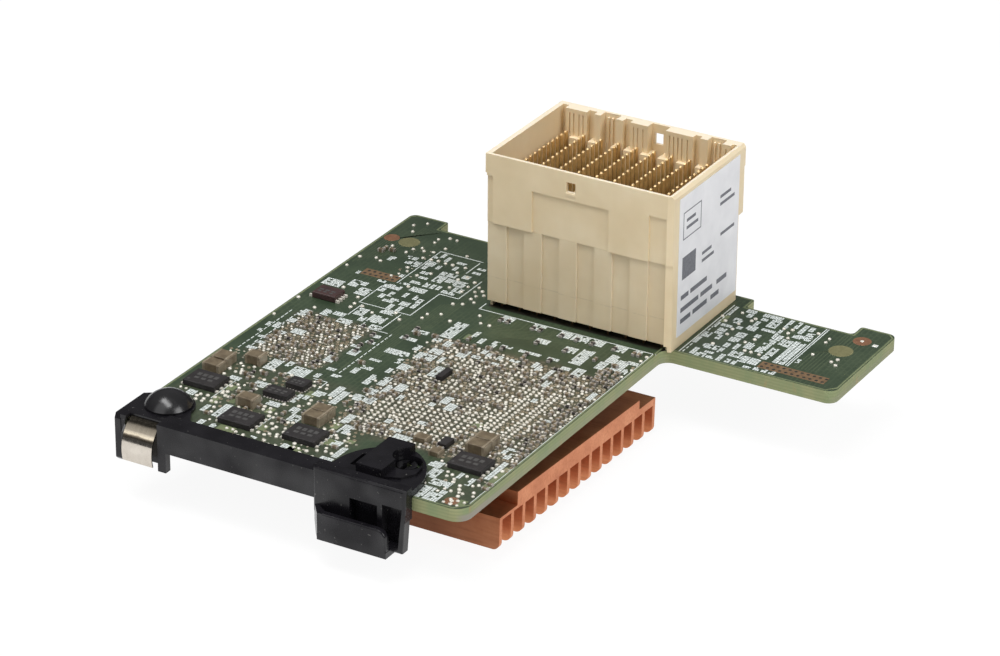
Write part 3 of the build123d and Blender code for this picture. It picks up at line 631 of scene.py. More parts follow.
# printed outlines
for line in (
        [(29.5, -1.25), (-0.42, -1.25), (-0.42, 0.8)], [(-15.6, 0.0), (-15.6, 12.9), (-8.0, 12.9)],
        [(-4.8, 0.0), (-4.8, 7.0)], [(-17.0, -2.0), (-17.0, -8.5), (-8.1, -8.5), (-8.1, 0.0), (-4.8, 0.0)],
        [(-9.4, -9.0), (-9.4, -15.0)], [(-13.0, -15.4), (-7.8, -15.4)], [(47.2, 5.4), (47.2, 19.6)], [(47.55, 5.4), (47.55, 19.6)],
        [(31.75, 1.6), (31.75, 19.5)], [(-16.2, -9.0), (-16.2, -13.0)], [(-9.4, -33.3), (-7.0, -33.3), (-7.0, -35.8)], [(-8.3, 8.2), (-8.3, 12.4)],
        [(-12.6, -15.4), (-12.6, -13.9)], [(-18.6, -46.0), (-18.6, -39.6)], [(-7.9, -50.6), (-7.9, -46.6)], [(2.4, -50.6), (2.4, -46.4)]):
    silk.run(line, 0.16, Z)
for x, y0, y1 in ((-7.1, -30.0, -16.0), (-24.2, -30.5, -16.0), (-22.9, -30.0, -17.0), (32.25, 1.8, 19.0)):
    y = y0
    while y < y1:
        silk.run([(x, y), (x, y + 0.8)], 0.17, Z)
        y += 1.15

# printed blocks measured from the picture
BLOCKS = [
    # right tab
    (34.2, 35.8, 18.2, 19.4), (34.9, 35.8, 16.8, 18.0), (33.8, 35.3, 14.1, 15.8), (37.0, 38.1, 18.2, 19.4), (38.2, 40.2, 18.2, 19.4),
    (37.3, 38.4, 16.9, 17.8), (38.9, 40.5, 15.4, 18.1), (37.1, 37.8, 14.7, 16.4), (36.7, 38.3, 13.0, 14.6), (38.9, 41.2, 13.9, 14.7),
    (33.0, 34.8, 12.3, 13.1), (35.4, 36.3, 12.6, 13.6), (33.3, 34.6, 10.6, 11.7), (33.3, 34.6, 9.6, 10.4), (36.4, 37.9, 10.2, 11.8),
    (34.2, 35.0, 8.0, 9.5), (32.0, 33.3, 7.8, 9.5), (36.2, 37.8, 8.4, 9.9), (31.9, 32.6, 5.4, 7.6), (36.4, 37.3, 6.3, 7.7),
    (38.0, 38.7, 6.3, 8.2), (39.2, 40.5, 7.4, 9.5), (41.2, 42.6, 7.2, 10.5), (41.5, 42.7, 10.6, 11.9), (42.0, 42.9, 12.0, 13.8),
    (43.1, 43.8, 11.0, 13.0), (43.9, 44.9, 10.8, 13.0), (43.0, 44.2, 7.0, 9.7), (45.0, 45.9, 5.4, 13.3), (46.0, 46.9, 5.4, 13.3),
    (43.9, 46.8, 14.1, 15.4), (41.3, 42.0, 16.4, 19.4), (42.7, 43.4, 17.0, 19.4), (43.9, 44.7, 15.8, 18.8), (45.0, 45.8, 17.2, 18.6),
    (45.4, 46.6, 15.6, 16.8), (33.8, 35.3, 4.6, 6.0), (35.5, 36.3, 4.6, 6.0), (36.5, 37.2, 4.2, 5.9), (38.4, 40.3, 4.0, 6.0),
    (40.4, 41.8, 3.1, 5.2), (41.9, 43.5, 3.2, 5.2), (43.0, 44.0, 5.6, 6.8), (33.2, 34.0, 1.9, 4.1), (34.1, 35.7, 1.7, 3.0),
    (35.0, 36.4, 3.2, 3.9), (35.9, 37.4, 1.8, 2.6), (37.5, 38.3, 1.8, 4.1), (38.9, 39.7, 1.9, 3.1), (40.0, 40.7, 1.8, 3.0),
    (42.0, 43.2, 1.7, 2.4), (43.6, 44.6, 1.8, 2.8), (44.9, 45.8, 1.8, 2.8), (46.1, 47.1, 1.8, 2.8), (32.1, 32.7, 16.0, 19.2),
    (41.3, 41.9, 12.2, 15.6), (39.0, 39.9, 11.4, 12.4), (47.9, 48.5, 7.0, 8.4), (32.1, 32.7, 11.4, 13.2),
    # left tab and the two outlined fields
    (-14.7, -14.0, 10.6, 12.6), (-15.4, -14.8, 10.4, 11.1), (-13.5, -12.8, 10.2, 11.8), (-11.4, -9.8, 10.4, 11.2), (-10.9, -10.2, 8.2, 9.5),
    (-15.4, -13.9, 7.6, 9.2), (-13.3, -12.6, 7.2, 8.6), (-15.2, -14.4, 6.2, 7.4), (-17.0, -15.9, 6.2, 8.0), (-19.1, -18.3, 8.2, 9.2),
    (-18.1, -17.2, 8.2, 9.2), (-18.4, -17.2, 6.6, 7.6), (-21.3, -20.2, 6.2, 7.7), (-11.7, -10.7, 5.8, 7.0), (-10.5, -8.9, 5.8, 7.1),
    (-11.6, -9.9, 3.2, 5.6), (-9.7, -8.3, 4.0, 5.4), (-8.2, -6.2, 3.4, 5.4), (-7.6, -6.2, 10.2, 10.9), (-7.6, -6.2, 8.6, 9.4),
    (-8.2, -6.9, 6.4, 7.6), (-14.5, -13.8, 4.7, 5.6), (-13.7, -13.1, 4.7, 5.6), (-13.8, -12.3, 3.1, 3.9), (-14.1, -12.3, 1.1, 2.0),
    (-11.8, -10.9, 0.9, 2.4), (-10.6, -9.9, 0.9, 2.4), (-9.6, -8.9, 1.0, 2.4), (-8.3, -6.0, 0.5, 1.5), (-7.2, -5.5, 1.7, 3.2),
    (-12.8, -10.2, -1.3, 0.2), (-16.9, -14.0, -2.2, -0.8), (-15.2, -13.6, 0.0, 0.7), (-12.6, -11.9, -3.7, -2.1), (-10.8, -10.1, -3.7, -2.1),
    (-9.8, -8.9, -4.4, -3.0), (-16.9, -15.8, -3.7, -2.5), (-14.7, -13.9, -4.6, -3.0), (-15.7, -14.8, -5.6, -4.2), (-14.4, -12.6, -6.4, -5.6),
    (-13.5, -12.0, -5.5, -4.8), (-11.6, -10.0, -6.3, -5.0), (-9.6, -8.8, -6.3, -4.6), (-12.6, -11.8, -8.3, -6.6), (-11.0, -10.2, -8.3, -6.6),
    (-25.5, -22.4, -5.9, -3.6), (-21.8, -20.2, -4.4, -2.2), (-20.1, -19.1, -3.4, -2.2), (-19.4, -17.4, -6.4, -4.0), (-18.6, -17.2, -1.0, -0.3),
    (-22.9, -22.3, -0.3, 0.7), (-16.6, -15.9, 2.0, 3.0),
    # left via field and the strip beside it
    (-12.6, -10.3, -10.0, -8.7), (-15.8, -14.1, -12.4, -10.0), (-12.9, -10.3, -13.4, -11.0), (-14.1, -13.1, -13.9, -12.4), (-11.4, -9.6, -15.2, -13.9),
    (-20.0, -18.6, -15.0, -13.0), (-18.3, -16.4, -14.1, -12.9), (-16.6, -14.2, -15.9, -14.4), (-23.0, -21.5, -16.9, -14.6), (-22.9, -21.6, -19.5, -18.2),
    (-25.0, -24.4, -22.2, -20.9), (-23.8, -22.6, -22.2, -20.4), (-25.0, -24.4, -24.3, -23.5), (-23.8, -22.4, -26.0, -25.3), (-23.2, -21.7, -27.8, -26.9),
    (-23.3, -21.7, -29.9, -29.0), (-22.5, -20.7, -23.6, -22.6), (-20.4, -18.4, -22.4, -20.8), (-11.4, -9.8, -27.7, -25.6), (-9.6, -8.0, -17.6, -16.6),
    (-11.5, -10.6, -19.4, -18.1), (-9.2, -7.6, -19.6, -18.8), (-10.4, -8.8, -21.7, -20.9), (-9.6, -8.0, -24.1, -22.3), (-5.2, -2.6, -13.0, -11.9),
    (-5.6, -2.9, -15.8, -14.8), (-5.2, -1.3, -20.8, -19.2), (-2.1, -1.1, -18.0, -16.3), (-2.1, -1.2, -23.0, -21.4), (-0.9, 0.8, -24.4, -22.6),
    (-1.7, -0.9, -26.3, -24.8), (-5.7, -3.8, -24.1, -23.4), (-5.4, -3.6, -27.0, -26.0), (-6.0, -5.0, -28.9, -27.2), (-2.7, -1.6, -31.0, -27.8),
    (-0.7, 0.6, -30.2, -27.4), (-0.6, 0.9, -20.0, -18.0), (-0.9, 1.1, -12.2, -6.7), (-9.4, -8.0, -29.9, -29.0), (-7.7, -6.2, -31.4, -30.5),
    (-17.6, -15.8, -34.2, -30.8), (-15.2, -14.2, -32.0, -30.3), (-13.6, -10.7, -33.9, -31.2), (-20.0, -18.2, -39.5, -38.4),
    # front, round the power transistors
    (-9.8, -8.9, -32.8, -31.5), (-4.8, -3.6, -36.8, -33.4), (-3.5, -2.3, -38.6, -34.4), (-1.6, 0.1, -36.0, -34.1), (0.2, 1.6, -35.7, -34.5),
    (-0.9, 0.8, -33.3, -31.6), (-6.9, -5.1, -37.8, -36.2), (-15.9, -13.9, -39.6, -37.9), (-8.4, -7.6, -41.2, -38.4), (-7.4, -6.6, -39.5, -38.2),
    (-7.0, -5.6, -44.0, -42.2), (-5.9, -4.0, -46.1, -44.1), (1.0, 2.3, -42.8, -40.0), (2.2, 4.0, -45.6, -43.0), (-11.0, -8.8, -43.6, -42.3),
    (-15.7, -14.5, -50.4, -46.3), (-18.0, -17.2, -49.9, -47.8), (3.4, 5.0, -49.4, -47.8), (5.5, 6.5, -52.2, -49.0), (-16.2, -15.2, -53.6, -52.1),
    (-14.1, -13.2, -53.5, -52.3), (-2.2, -1.0, -53.6, -52.2), (-22.8, -21.3, -46.6, -45.1), (-7.4, -6.3, -53.6, -52.6), (4.4, 6.4, -53.4, -52.6),
    # beside the header
    (4.0, 6.1, -3.3, -1.4), (9.3, 11.4, -3.3, -1.4), (13.9, 16.0, -3.3, -1.4), (16.2, 18.9, -3.3, -1.4), (19.2, 21.4, -3.2, -1.4), (23.0, 25.1, -3.3, -1.4),
    (26.3, 27.6, -2.3, -1.4), (12.0, 14.2, -6.7, -5.2), (16.9, 19.0, -7.2, -5.4), (19.6, 21.6, -10.0, -5.0), (23.6, 25.0, -9.6, -7.2), (24.0, 25.7, -7.0, -4.4),
    (25.8, 27.6, -8.9, -5.4), (27.7, 28.6, -9.2, -7.6), (27.0, 28.9, -6.0, -5.0), (3.2, 4.0, -10.2, -8.0), (4.9, 5.8, -11.3, -9.5), (7.0, 8.0, -11.8, -9.4),
    (8.6, 10.4, -10.6, -9.8), (11.6, 15.2, -10.6, -9.8), (16.4, 18.2, -10.6, -9.8), (19.6, 21.1, -12.4, -11.4), (21.7, 23.3, -13.4, -10.8), (15.6, 16.4, -14.0, -12.2),
    (16.5, 17.3, -14.7, -13.0), (7.1, 8.0, -13.9, -12.4), (8.2, 9.0, -14.4, -13.2), (10.0, 10.9, -14.6, -13.2), (12.0, 13.6, -14.0, -13.2), (4.4, 6.0, -16.6, -14.2),
    (6.6, 8.0, -15.8, -14.9), (8.4, 11.4, -16.1, -15.5), (1.0, 2.2, -15.0, -13.0), (0.4, 2.4, -17.6, -15.9), (-1.1, 0.3, -13.9, -12.8), (18.7, 19.5, -16.4, -13.3),
    (19.8, 20.8, -18.6, -16.6), (27.4, 28.3, -18.8, -16.4),
    # large via field
    (4.0, 5.6, -24.0, -20.6), (1.0, 2.4, -20.0, -18.0), (3.0, 3.8, -19.5, -17.8), (1.0, 2.0, -32.0, -29.4), (2.2, 3.8, -30.4, -28.2), (10.0, 11.3, -30.4, -28.2),
    (11.5, 13.0, -32.0, -29.8), (9.0, 10.0, -32.0, -31.0), (4.1, 5.0, -32.8, -31.2), (1.0, 2.0, -36.0, -34.0), (10.6, 12.2, -37.6, -36.6), (8.2, 10.2, -41.2, -40.3),
    (9.8, 12.6, -43.0, -41.6), (6.0, 7.4, -39.6, -38.3), (25.4, 27.0, -37.9, -37.2), (25.2, 26.0, -39.2, -38.0), (26.2, 27.2, -40.4, -38.6), (25.6, 26.8, -27.9, -27.2),
    (21.0, 21.8, -23.6, -22.4),
    # front right corner
    (18.3, 20.3, -47.4, -45.7), (19.5, 21.2, -50.3, -47.5), (21.1, 24.2, -51.9, -50.2), (20.7, 22.4, -56.0, -52.5), (22.5, 24.8, -56.0, -53.7), (22.5, 23.0, -53.6, -52.5),
    (23.8, 24.8, -53.6, -52.6), (23.5, 24.2, -48.6, -47.0), (25.6, 26.4, -49.8, -47.6), (27.0, 27.9, -46.9, -41.2)]
for n, (x0, x1, y0, y1) in enumerate(BLOCKS):
    if y1 < y0:
        y0, y1 = y1, y0
    bars(x0, x1, y0, y1, row=0.36, fill=0.93, seed=n, along="y" if (y1 - y0) >= (x1 - x0) * 0.8 else "x")

# bare solder dots seen one by one
SEEN = [(49, 16.4), (49, 15.1), (49.1, 10.6), (53, 10.9), (52.5, 9.8), (53.5, 9.1),
        (-22.5, 20.5), (-24.1, 18.9), (-23, 16.8), (-16.7, 17.6), (-15.4, 17.5), (-18.1, 16.4), (-18, 15.1), (-15.4, 14),
        (-11.2, 13.4), (-18.6, 12.4), (-17.8, 11.6), (-19.6, 11.4), (-23, 10.8), (-20, 9.9), (-16.7, 9.5), (-25.3, 5),
        (-22.9, 5.9), (-21.8, 5.3), (-25.4, 1.4), (-5.5, 6), (-4, 4.8), (-2.9, 3.9), (-3.8, 3.2), (-2, 2.8), (-2.9, 2),
        (-3.1, .8), (-2.1, 0), (-3.3, -1.3), (-4.6, -2), (.9, -3.4), (-6.1, -6.9), (-6.1, -8.4), (-4.3, -5.9), (-2, -7.2),
        (2.3, -5.5), (3.8, -5.5), (-25.7, -11.8), (-25.7, -18.5), (-21.7, -5.5), (-18, -7.3), (-17.3, -9.4), (-17.2, -10.7),
        (-8.7, -10.6), (-21.7, -13.6), (25.8, -51.4), (28, -51.2), (26.8, -52.2), (25, -52.3), (28.7, -2.7), (28.6, -4.3), (28.9, -7.6),
        (36.6, 16.8), (36.4, 15.9), (35.2, 14.0), (35.2, 12.0), (35.3, 10.1), (39.6, 10.6), (38.8, 9.1), (41.0, 6.6), (42.4, 6.5), (42.9, 15.0),
        (43.6, 13.5), (43.0, 16.3), (46.8, 17.2), (34.9, 6.3), (40.0, 6.6), (41.7, 16.0), (31.9, 15.2), (34.0, 17.6), (33.0, 14.0),
        (-15.3, 9.6), (-14.1, 9.7), (-12.7, 9.5), (-11.5, 9.6), (-9.3, 9.7), (-9.5, 7.6), (-7.4, 7.0), (-8.2, 5.6), (-14.3, 3.7), (-12.8, 5.3), (-5.6, 4.2),
        (-7.9, 2.6), (-5.6, 2.3), (-13.4, -0.3), (-13.4, -10.7), (-15.8, -9.6), (-10.3, -9.0),
        (-20.9, -34.7), (-18.6, -34.7), (-19.4, -36.8), (-21.4, -36.9), (-21.2, -38.7), (-17.5, -40.6), (-16.8, -41.4), (-17.6, -43.2), (-18.0, -43.9),
        (-17.2, -44.4), (-20.5, -45.8), (-19.4, -45.6), (-20.3, -47.4), (-19.3, -46.8), (-18.0, -46.8), (-17.2, -46.8), (-16.6, -48.2), (-15.2, -44.2),
        (-10.2, -45.2), (-6.8, -48.2), (-5.7, -48.8), (-7.0, -51.4), (-5.4, -51.0), (-4.1, -51.2), (-9.8, -52.9), (-8.4, -53.2), (-5.0, -53.0), (0.5, -52.6),
        (1.8, -52.6), (3.0, -51.8), (4.2, -51.4), (3.4, -47.2), (4.8, -47.4), (2.9, -46.6), (1.6, -45.5), (0.5, -45.9), (-5.6, -40.4), (-6.4, -41.8),
        (-5.0, -46.8), (-7.6, -46.6), (24.8, -47.6), (23.7, -49.2), (26.9, -49.6), (27.5, -49.0), (28.2, -43.8), (28.3, -45.8), (25.3, -50.4), (22.8, -48.2)]
for x, y in SEEN:
    dots.dome(x, y, rng.uniform(0.27, 0.34), Z, 0.24)
    take(x - 0.3, x + 0.3, y - 0.3, y + 0.3)

# orderly rows of solder dots in the large field
ROWS = []
for x in (20.05, 21.0, 22.95, 23.9):
    ROWS += [(x, -35.4 + 0.86 * i) for i in range(19)]
for i in range(24):
    for j in range(27):
        x, y = 3.2 + 1.0 * i, -40.55 + 1.0 * j
        if 19.4 < x < 24.6 and -36.0 < y < -18.6:
            continue
        if y < -32.5 and x < 17.5 or rng.random() < 0.50:
            ROWS.append((x + rng.uniform(-0.06, 0.06), y + rng.uniform(-0.06, 0.06)))
for x, y in ROWS:
    r = rng.uniform(0.25, 0.30)
    if free(x - 0.22, x + 0.22, y - 0.22, y + 0.22):
        dots.dome(x, y, r, Z, 0.22)
        take(x - 0.27, x + 0.27, y - 0.27, y + 0.27)


def tiny(x, y, turn, kind, side="top"):
    """Small two-ended chip part."""
    L, W, H = (1.0, 0.52, 0.42) if kind == "c" else (1.0, 0.5, 0.30)
    if turn:
        x0, x1, y0, y1 = x - W / 2, x + W / 2, y - L / 2, y + L / 2
    else:
        x0, x1, y0, y1 = x - L / 2, x + L / 2, y - W / 2, y + W / 2
    if not free(x0 - 0.06, x1 + 0.06, y0 - 0.06, y1 + 0.06, side):
        return False
    take(x0, x1, y0, y1, side)
    if side == "top":
        z0, z1, dn = Z, H, False
    else:
        z0, z1, dn = -2.0 - H, -2.0 - Z, True
    body = tan if kind == "c" else res
    if turn:
        body.box(x0 + 0.02, x1 - 0.02, y0 + 0.2, y1 - 0.2, z0, z1 - (0.0 if dn else 0.02), 0.04, dn)
        ends.box(x0, x1, y0, y0 + 0.24, z0, z1, 0.05, dn)
        ends.box(x0, x1, y1 - 0.24, y1, z0, z1, 0.05, dn)
    else:
        body.box(x0 + 0.2, x1 - 0.2, y0 + 0.02, y1 - 0.02, z0, z1 - (0.0 if dn else 0.02), 0.04, dn)
        ends.box(x0, x0 + 0.24, y0, y1, z0, z1, 0.05, dn)
        ends.box(x1 - 0.24, x1, y0, y1, z0, z1, 0.05, dn)
    return True


# small chip parts: measured groups first, then the crowded fields
for x, y in ((3.5, -11.0), (5.3, -10.4), (7.4, -15.2), (9.3, -10.2), (10.0, -10.2), (12.6, -10.3), (14.6, -10.3), (17.4, -10.3),
             (26.7, -2.9), (27.5, -2.9), (26.5, -9.8), (27.6, -10.6), (22.7, -7.4), (22.3, -8.3), (-23.4, 9.4), (-21.2, 6.4)):
    tiny(x, y, True, "c")
for region, count, kinds in (((0.4, 28.4, -43.0, -12.6), 150, "cccr"), ((-22.0, -10.9, -30.2, -15.4), 46, "cccr"),
                             ((-19.6, 6.0, -52.5, -33.6), 24, "ccr"), ((24.3, 28.8, -50.0, -36.0), 8, "c"), ((25.4, 28.6, -15.0, -9.4), 10, "cc")):
    x0, x1, y0, y1 = region
    done = 0
    for _ in range(count * 12):
        x = x0 + 0.45 * round(rng.uniform(0, (x1 - x0) / 0.45))
        y = y0 + 0.45 * round(rng.uniform(0, (y1 - y0) / 0.45))
        if 19.2 < x < 25.0 and -35.8 < y < -21.0:
            continue
        if tiny(x, y, rng.random() < 0.55, rng.choice(kinds)):
            done += 1
        if done >= count:
            break

# covered vias, solder dots and small lands between them
for region, pitch, share, bright in (((0.0, 28.7, -43.6, -12.4), 0.70, 0.96, 0.44), ((-22.2, -10.6, -30.4, -15.3), 0.74, 0.96, 0.50),
                                     ((-24.8, 6.6, -54.6, -33.4), 1.02, 0.60, 0.80), ((19.0, 28.8, -55.4, -43.0), 1.10, 0.50, 0.80),
                                     ((-24.9, -18.0, -33.0, -30.6), 0.9, 0.6, 0.5), ((24.8, 28.8, -12.6, -6.2), 0.84, 0.7, 0.5),
                                     ((-1.2, 1.4, -33.0, -13.0), 0.9, 0.75, 0.5), ((-17.6, -15.8, -1.0, 12.0), 1.3, 0.3, 0.8)):
    x0, x1, y0, y1 = region
    ny = int((y1 - y0) / pitch)
    nx = int((x1 - x0) / pitch)
    for j in range(ny + 1):
        for i in range(nx + 1):
            if rng.random() > share:
                continue
            x = x0 + pitch * i + (pitch / 2 if j % 2 else 0) + rng.uniform(-0.08, 0.08)
            y = y0 + pitch * j + rng.uniform(-0.08, 0.08)
            if x > 28.8 or not free(x - 0.22, x + 0.22, y - 0.22, y + 0.22):
                if x < 28.8 and free(x - 0.12, x + 0.12, y - 0.12, y + 0.12):
                    lands.plate(x - 0.13, x + 0.13, y - 0.13, y + 0.13, Z, 0.05)
                continue
            take(x - 0.24, x + 0.24, y - 0.24, y + 0.24)
            if rng.random() < bright:
                k = 1.0 if pitch < 1.0 else 1.2
                dots.dome(x, y, k * rng.uniform(0.20, 0.29), Z, rng.uniform(0.15, 0.24), 7, rng.uniform(0, 1))
            else:
                rings.ring(x, y, rng.uniform(0.25, 0.32), 0.11, Z, 0.04, 9)
                holes.disc(x, y, 0.118, Z, 7, 0.004)
    for j in range(ny + 1):
        for i in range(nx + 1):
            x = x0 + pitch * (i + 0.5) + (pitch / 2 if j % 2 else 0) + rng.uniform(-0.08, 0.08)
            y = y0 + pitch * j + rng.uniform(-0.1, 0.1)
            w, h = rng.uniform(0.09, 0.2), rng.uniform(0.09, 0.2)
            if x < 28.8 and rng.random() < (0.55 if pitch < 1.0 else 0.18) and free(x - w, x + w, y - h, y + h):
                lands.plate(x - w, x + w, y - h, y + h, Z, 0.04)

# printed line along the right edge, bare laminate border round the outline
silk.run([(29.0, -54.0), (29.0, -1.25)], 0.10, Z)
OUT = [(-26.2, -47.0), (-26.2, 21.6), (-25.4, 22.35), (-20.4, 22.35), (-20.15, 22.1), (-20.15, 19.45), (-0.6, 19.45)]
pours.run(OUT, 0.28, Z)
OUT2 = [(21.4, -56.2), (27.6, -56.2), (29.2, -54.4), (29.2, 1.4), (55.6, 1.42), (56.85, 2.8), (56.85, 21.4), (56.0, 22.35), (51.6, 22.35), (51.5, 19.45), (33.3, 19.45), (33.3, 22.35), (31.3, 22.35)]
pours.run(OUT2, 0.28, Z)
for x0, x1, y0, y1 in ((-12.9, -10.2, -53.7, -51.95), (-1.2, 1.1, -54.0, -52.6), (2.4, 4.4, -49.6, -47.8), (2.5, 3.4, -11.2, -9.4),
                       (-7.6, -6.2, -38.6, -36.8), (-18.3, -17.4, -47.2, -44.9), (27.4, 28.6, -55.4, -53.6), (17.6, 19.0, -34.4, -33.0),
                       (7.0, 7.6, -27.4, -25.4), (-9.8, -8.7, -45.8, -44.1), (0.7, 1.9, -45.0, -43.2), (-15.9, -14.9, -45.8, -44.5), (28.0, 28.9, -49.2, -42.4),
                       (-1.0, 0.1, -53.4, -52.2), (-18.6, -17.2, -42.6, -41.0), (5.0, 6.2, -47.6, -46.6), (-7.9, -6.6, -50.6, -49.0), (32.1, 33.0, 13.4, 15.8)):
    pours.plate(x0, x1, y0, y1, Z * 0.5, 0.01)

# tracks under the mask
for k in range(9):
    x = -25.4 + 0.45 * k
    tracks.run([(x, 3.0 + 0.6 * k), (x, 12.0 + 0.5 * k), (x + 3.2, 15.2 + 0.5 * k), (x + 3.2, 19.0)], 0.16, Z * 0.5, 0.008)
for k in range(8):
    tracks.run([(-7.6 + 0.4 * k, -30.0 + 0.5 * k), (-7.6 + 0.4 * k, -12.0), (-6.0 + 0.4 * k, -10.4), (-6.0 + 0.4 * k, -3.0 + 0.4 * k)], 0.15, Z * 0.5, 0.008)
for k in range(10):
    tracks.run([(1.5 + 0.5 * k, -12.0), (1.5 + 0.5 * k, -8.5 - 0.1 * k), (3.5 + 0.5 * k, -6.5 - 0.1 * k), (3.5 + 1.6 * k, -4.2), (3.5 + 1.6 * k, -1.6)], 0.14, Z * 0.5, 0.008)
for k in range(7):
    tracks.run([(48.6 + 0.55 * k, 5.6), (48.6 + 0.55 * k, 11.0 + 0.4 * k), (50.4 + 0.55 * k, 12.8 + 0.4 * k), (50.4 + 0.55 * k, 18.9)], 0.16, Z * 0.5, 0.008)

# etched meanders beside the tabs, with their rows of dark holes
serp = Build()
for x0, x1, y0, y1 in ((43.8, 54.6, 2.85, 5.0), (-22.2, -16.0, 0.0, 2.1)):
    serp.plate(x0, x1, y0, y1, Z * 0.5, 0.012)
    n = int((x1 - x0) / 0.98)
    for i in range(n):
        for j, yy in enumerate((y0 + 0.55, y1 - 0.55)):
            holes.disc(x0 + 0.55 + 0.98 * i + 0.2 * j, yy, 0.27, 0.012, 9, 0.006)
serp.piece("etched_meander", M_SERP)

olive = Build()
for x, y, r in ((52.1, 13.8, 1.85), (-21.5, 13.3, 1.7)):
    olive.disc(x, y, r, Z, 30)
olive.piece("olive_discs", M_OLIVE)
red = Build()
for x, y, r in ((53.4, 18.3, 1.4), (-24.7, 13.4, 1.25), (26.5, -54.6, 1.1)):
    red.disc(x, y, r, Z, 26)
red.piece("red_discs", M_RED)
for x, y in ((53.4, 18.3), (26.5, -54.6)):
    dots.dome(x, y, 0.32, 0.03, 0.04, 10)
dots.dome(55.7, 17.9, 0.34, Z, 0.06, 10)
silk.plate(55.3, 56.1, 17.5, 18.3, Z)

# plated ends on the chip capacitors and resistors
caps = Build()
for x0, x1, y0, y1, h in BIG:
    e = 0.5 if x1 - x0 > 2.4 else 0.36
    for a, b in ((x0 - 0.03, x0 + e), (x1 - e, x1 + 0.03)):
        caps.box(a, b, y0 - 0.03, y1 + 0.03, 0.0, h + 0.03, 0.14)
for x, y in SMALL_C:
    for a, b in ((x - 0.02, x + 0.25), (x + 0.75, x + 1.02)):
        ends.box(a, b, y - 0.02, y + 0.57, 0.0, 0.52, 0.06)
for x, y in SMALL_R:
    for a, b in ((y - 0.02, y + 0.22), (y + 0.78, y + 1.02)):
        ends.box(x - 0.02, x + 0.57, a, b, 0.0, 0.37, 0.05)

# plain marking bars and pin-one dimples on the chips
marks = Build()
for x, y in POWER:
    for i in range(4):
        marks.plate(x + 0.95 + 0.95 * i, x + 1.6 + 0.95 * i, y + 2.15, y + 2.95, PH - 0.002, 0.006)
    for i in range(3):
        marks.plate(x + 1.1 + 1.15 * i, x + 1.85 + 1.15 * i, y + 1.15, y + 1.7, PH - 0.002, 0.006)
    marks.disc(x + 0.6, y + 0.6, 0.2, PH - 0.002, 12, 0.005)
for x0, x1, y0, y1, zt in ((-12.6, -8.6, -41.7, -39.3, 0.9), (-11.2, -8.2, -37.9, -35.4, 0.9), (-23.9, -19.9, -10.8, -7.9, 1.05)):
    for i in range(3):
        w = (x1 - x0 - 0.9) / 3
        marks.plate(x0 + 0.5 + w * i, x0 + 0.5 + w * i + w * 0.7, y0 + 1.2, y0 + 1.6, zt - 0.002, 0.005)
        marks.plate(x0 + 0.5 + w * i, x0 + 0.5 + w * i + w * 0.55, y0 + 0.6, y0 + 0.95, zt - 0.002, 0.005)
marks.piece("chip_marks", M_MARK)

# leadless chips: solder lands along their sides
for x0, x1, y0, y1 in ((-12.6, -8.6, -41.7, -39.3), (-11.2, -8.2, -37.9, -35.4)):
    n = int((y1 - y0 - 0.4) / 0.5)
    for i in range(n + 1):
        yy = y0 + 0.25 + 0.5 * i
        ends.box(x0 - 0.22, x0 + 0.05, yy, yy + 0.26, 0.0, 0.14, 0.04)
        ends.box(x1 - 0.05, x1 + 0.22, yy, yy + 0.26, 0.0, 0.14, 0.04)
    n = int((x1 - x0 - 0.4) / 0.5)
    for i in range(n + 1):
        xx = x0 + 0.25 + 0.5 * i
        ends.box(xx, xx + 0.26, y0 - 0.22, y0 + 0.05, 0.0, 0.14, 0.04)
        ends.box(xx, xx + 0.26, y1 - 0.05, y1 + 0.22, 0.0, 0.14, 0.04)

# ------------------------------------------------------------------- sticker
ink = Build()


def on_label(y0, y1, z0, z1):
    x0, x1 = 31.078, 31.092
    pts = [(x0, y0, z0), (x0, y1, z0), (x0, y1, z1), (x0, y0, z1), (x1, y0, z0), (x1, y1, z0), (x1, y1, z1), (x1, y0, z1)]
    ink.add(pts, [(4, 5, 6, 7), (0, 1, 5, 4), (1, 2, 6, 5), (2, 3, 7, 6), (3, 0, 4, 7)])


for z, runs in ((3.6, ((3.0, 6.2), (6.9, 11.4), (12.6, 15.2))), (5.4, ((3.0, 8.6), (9.3, 13.0), (14.4, 17.6))), (7.4, ((3.0, 5.4), (6.0, 11.2)))):
    for a, b in runs:
        on_label(a, b, z, z + 0.75)
on_label(15.2, 19.6, 13.0, 13.5)
on_label(3.2, 8.8, 17.0, 17.18)
on_label(3.2, 8.8, 21.2, 21.38)
on_label(3.2, 3.38, 17.18, 21.2)
on_label(8.62, 8.8, 17.18, 21.2)
on_label(4.2, 7.8, 18.4, 18.9)
on_label(4.2, 7.0, 19.6, 20.1)
on_label(3.2, 7.4, 10.6, 14.2)
on_label(9.4, 13.2, 11.0, 11.5)
on_label(9.4, 12.4, 12.2, 12.7)
on_label(14.8, 19.4, 18.0, 18.5)
on_label(14.8, 18.2, 19.2, 19.7)
ink.piece("sticker_bars", M_INK)

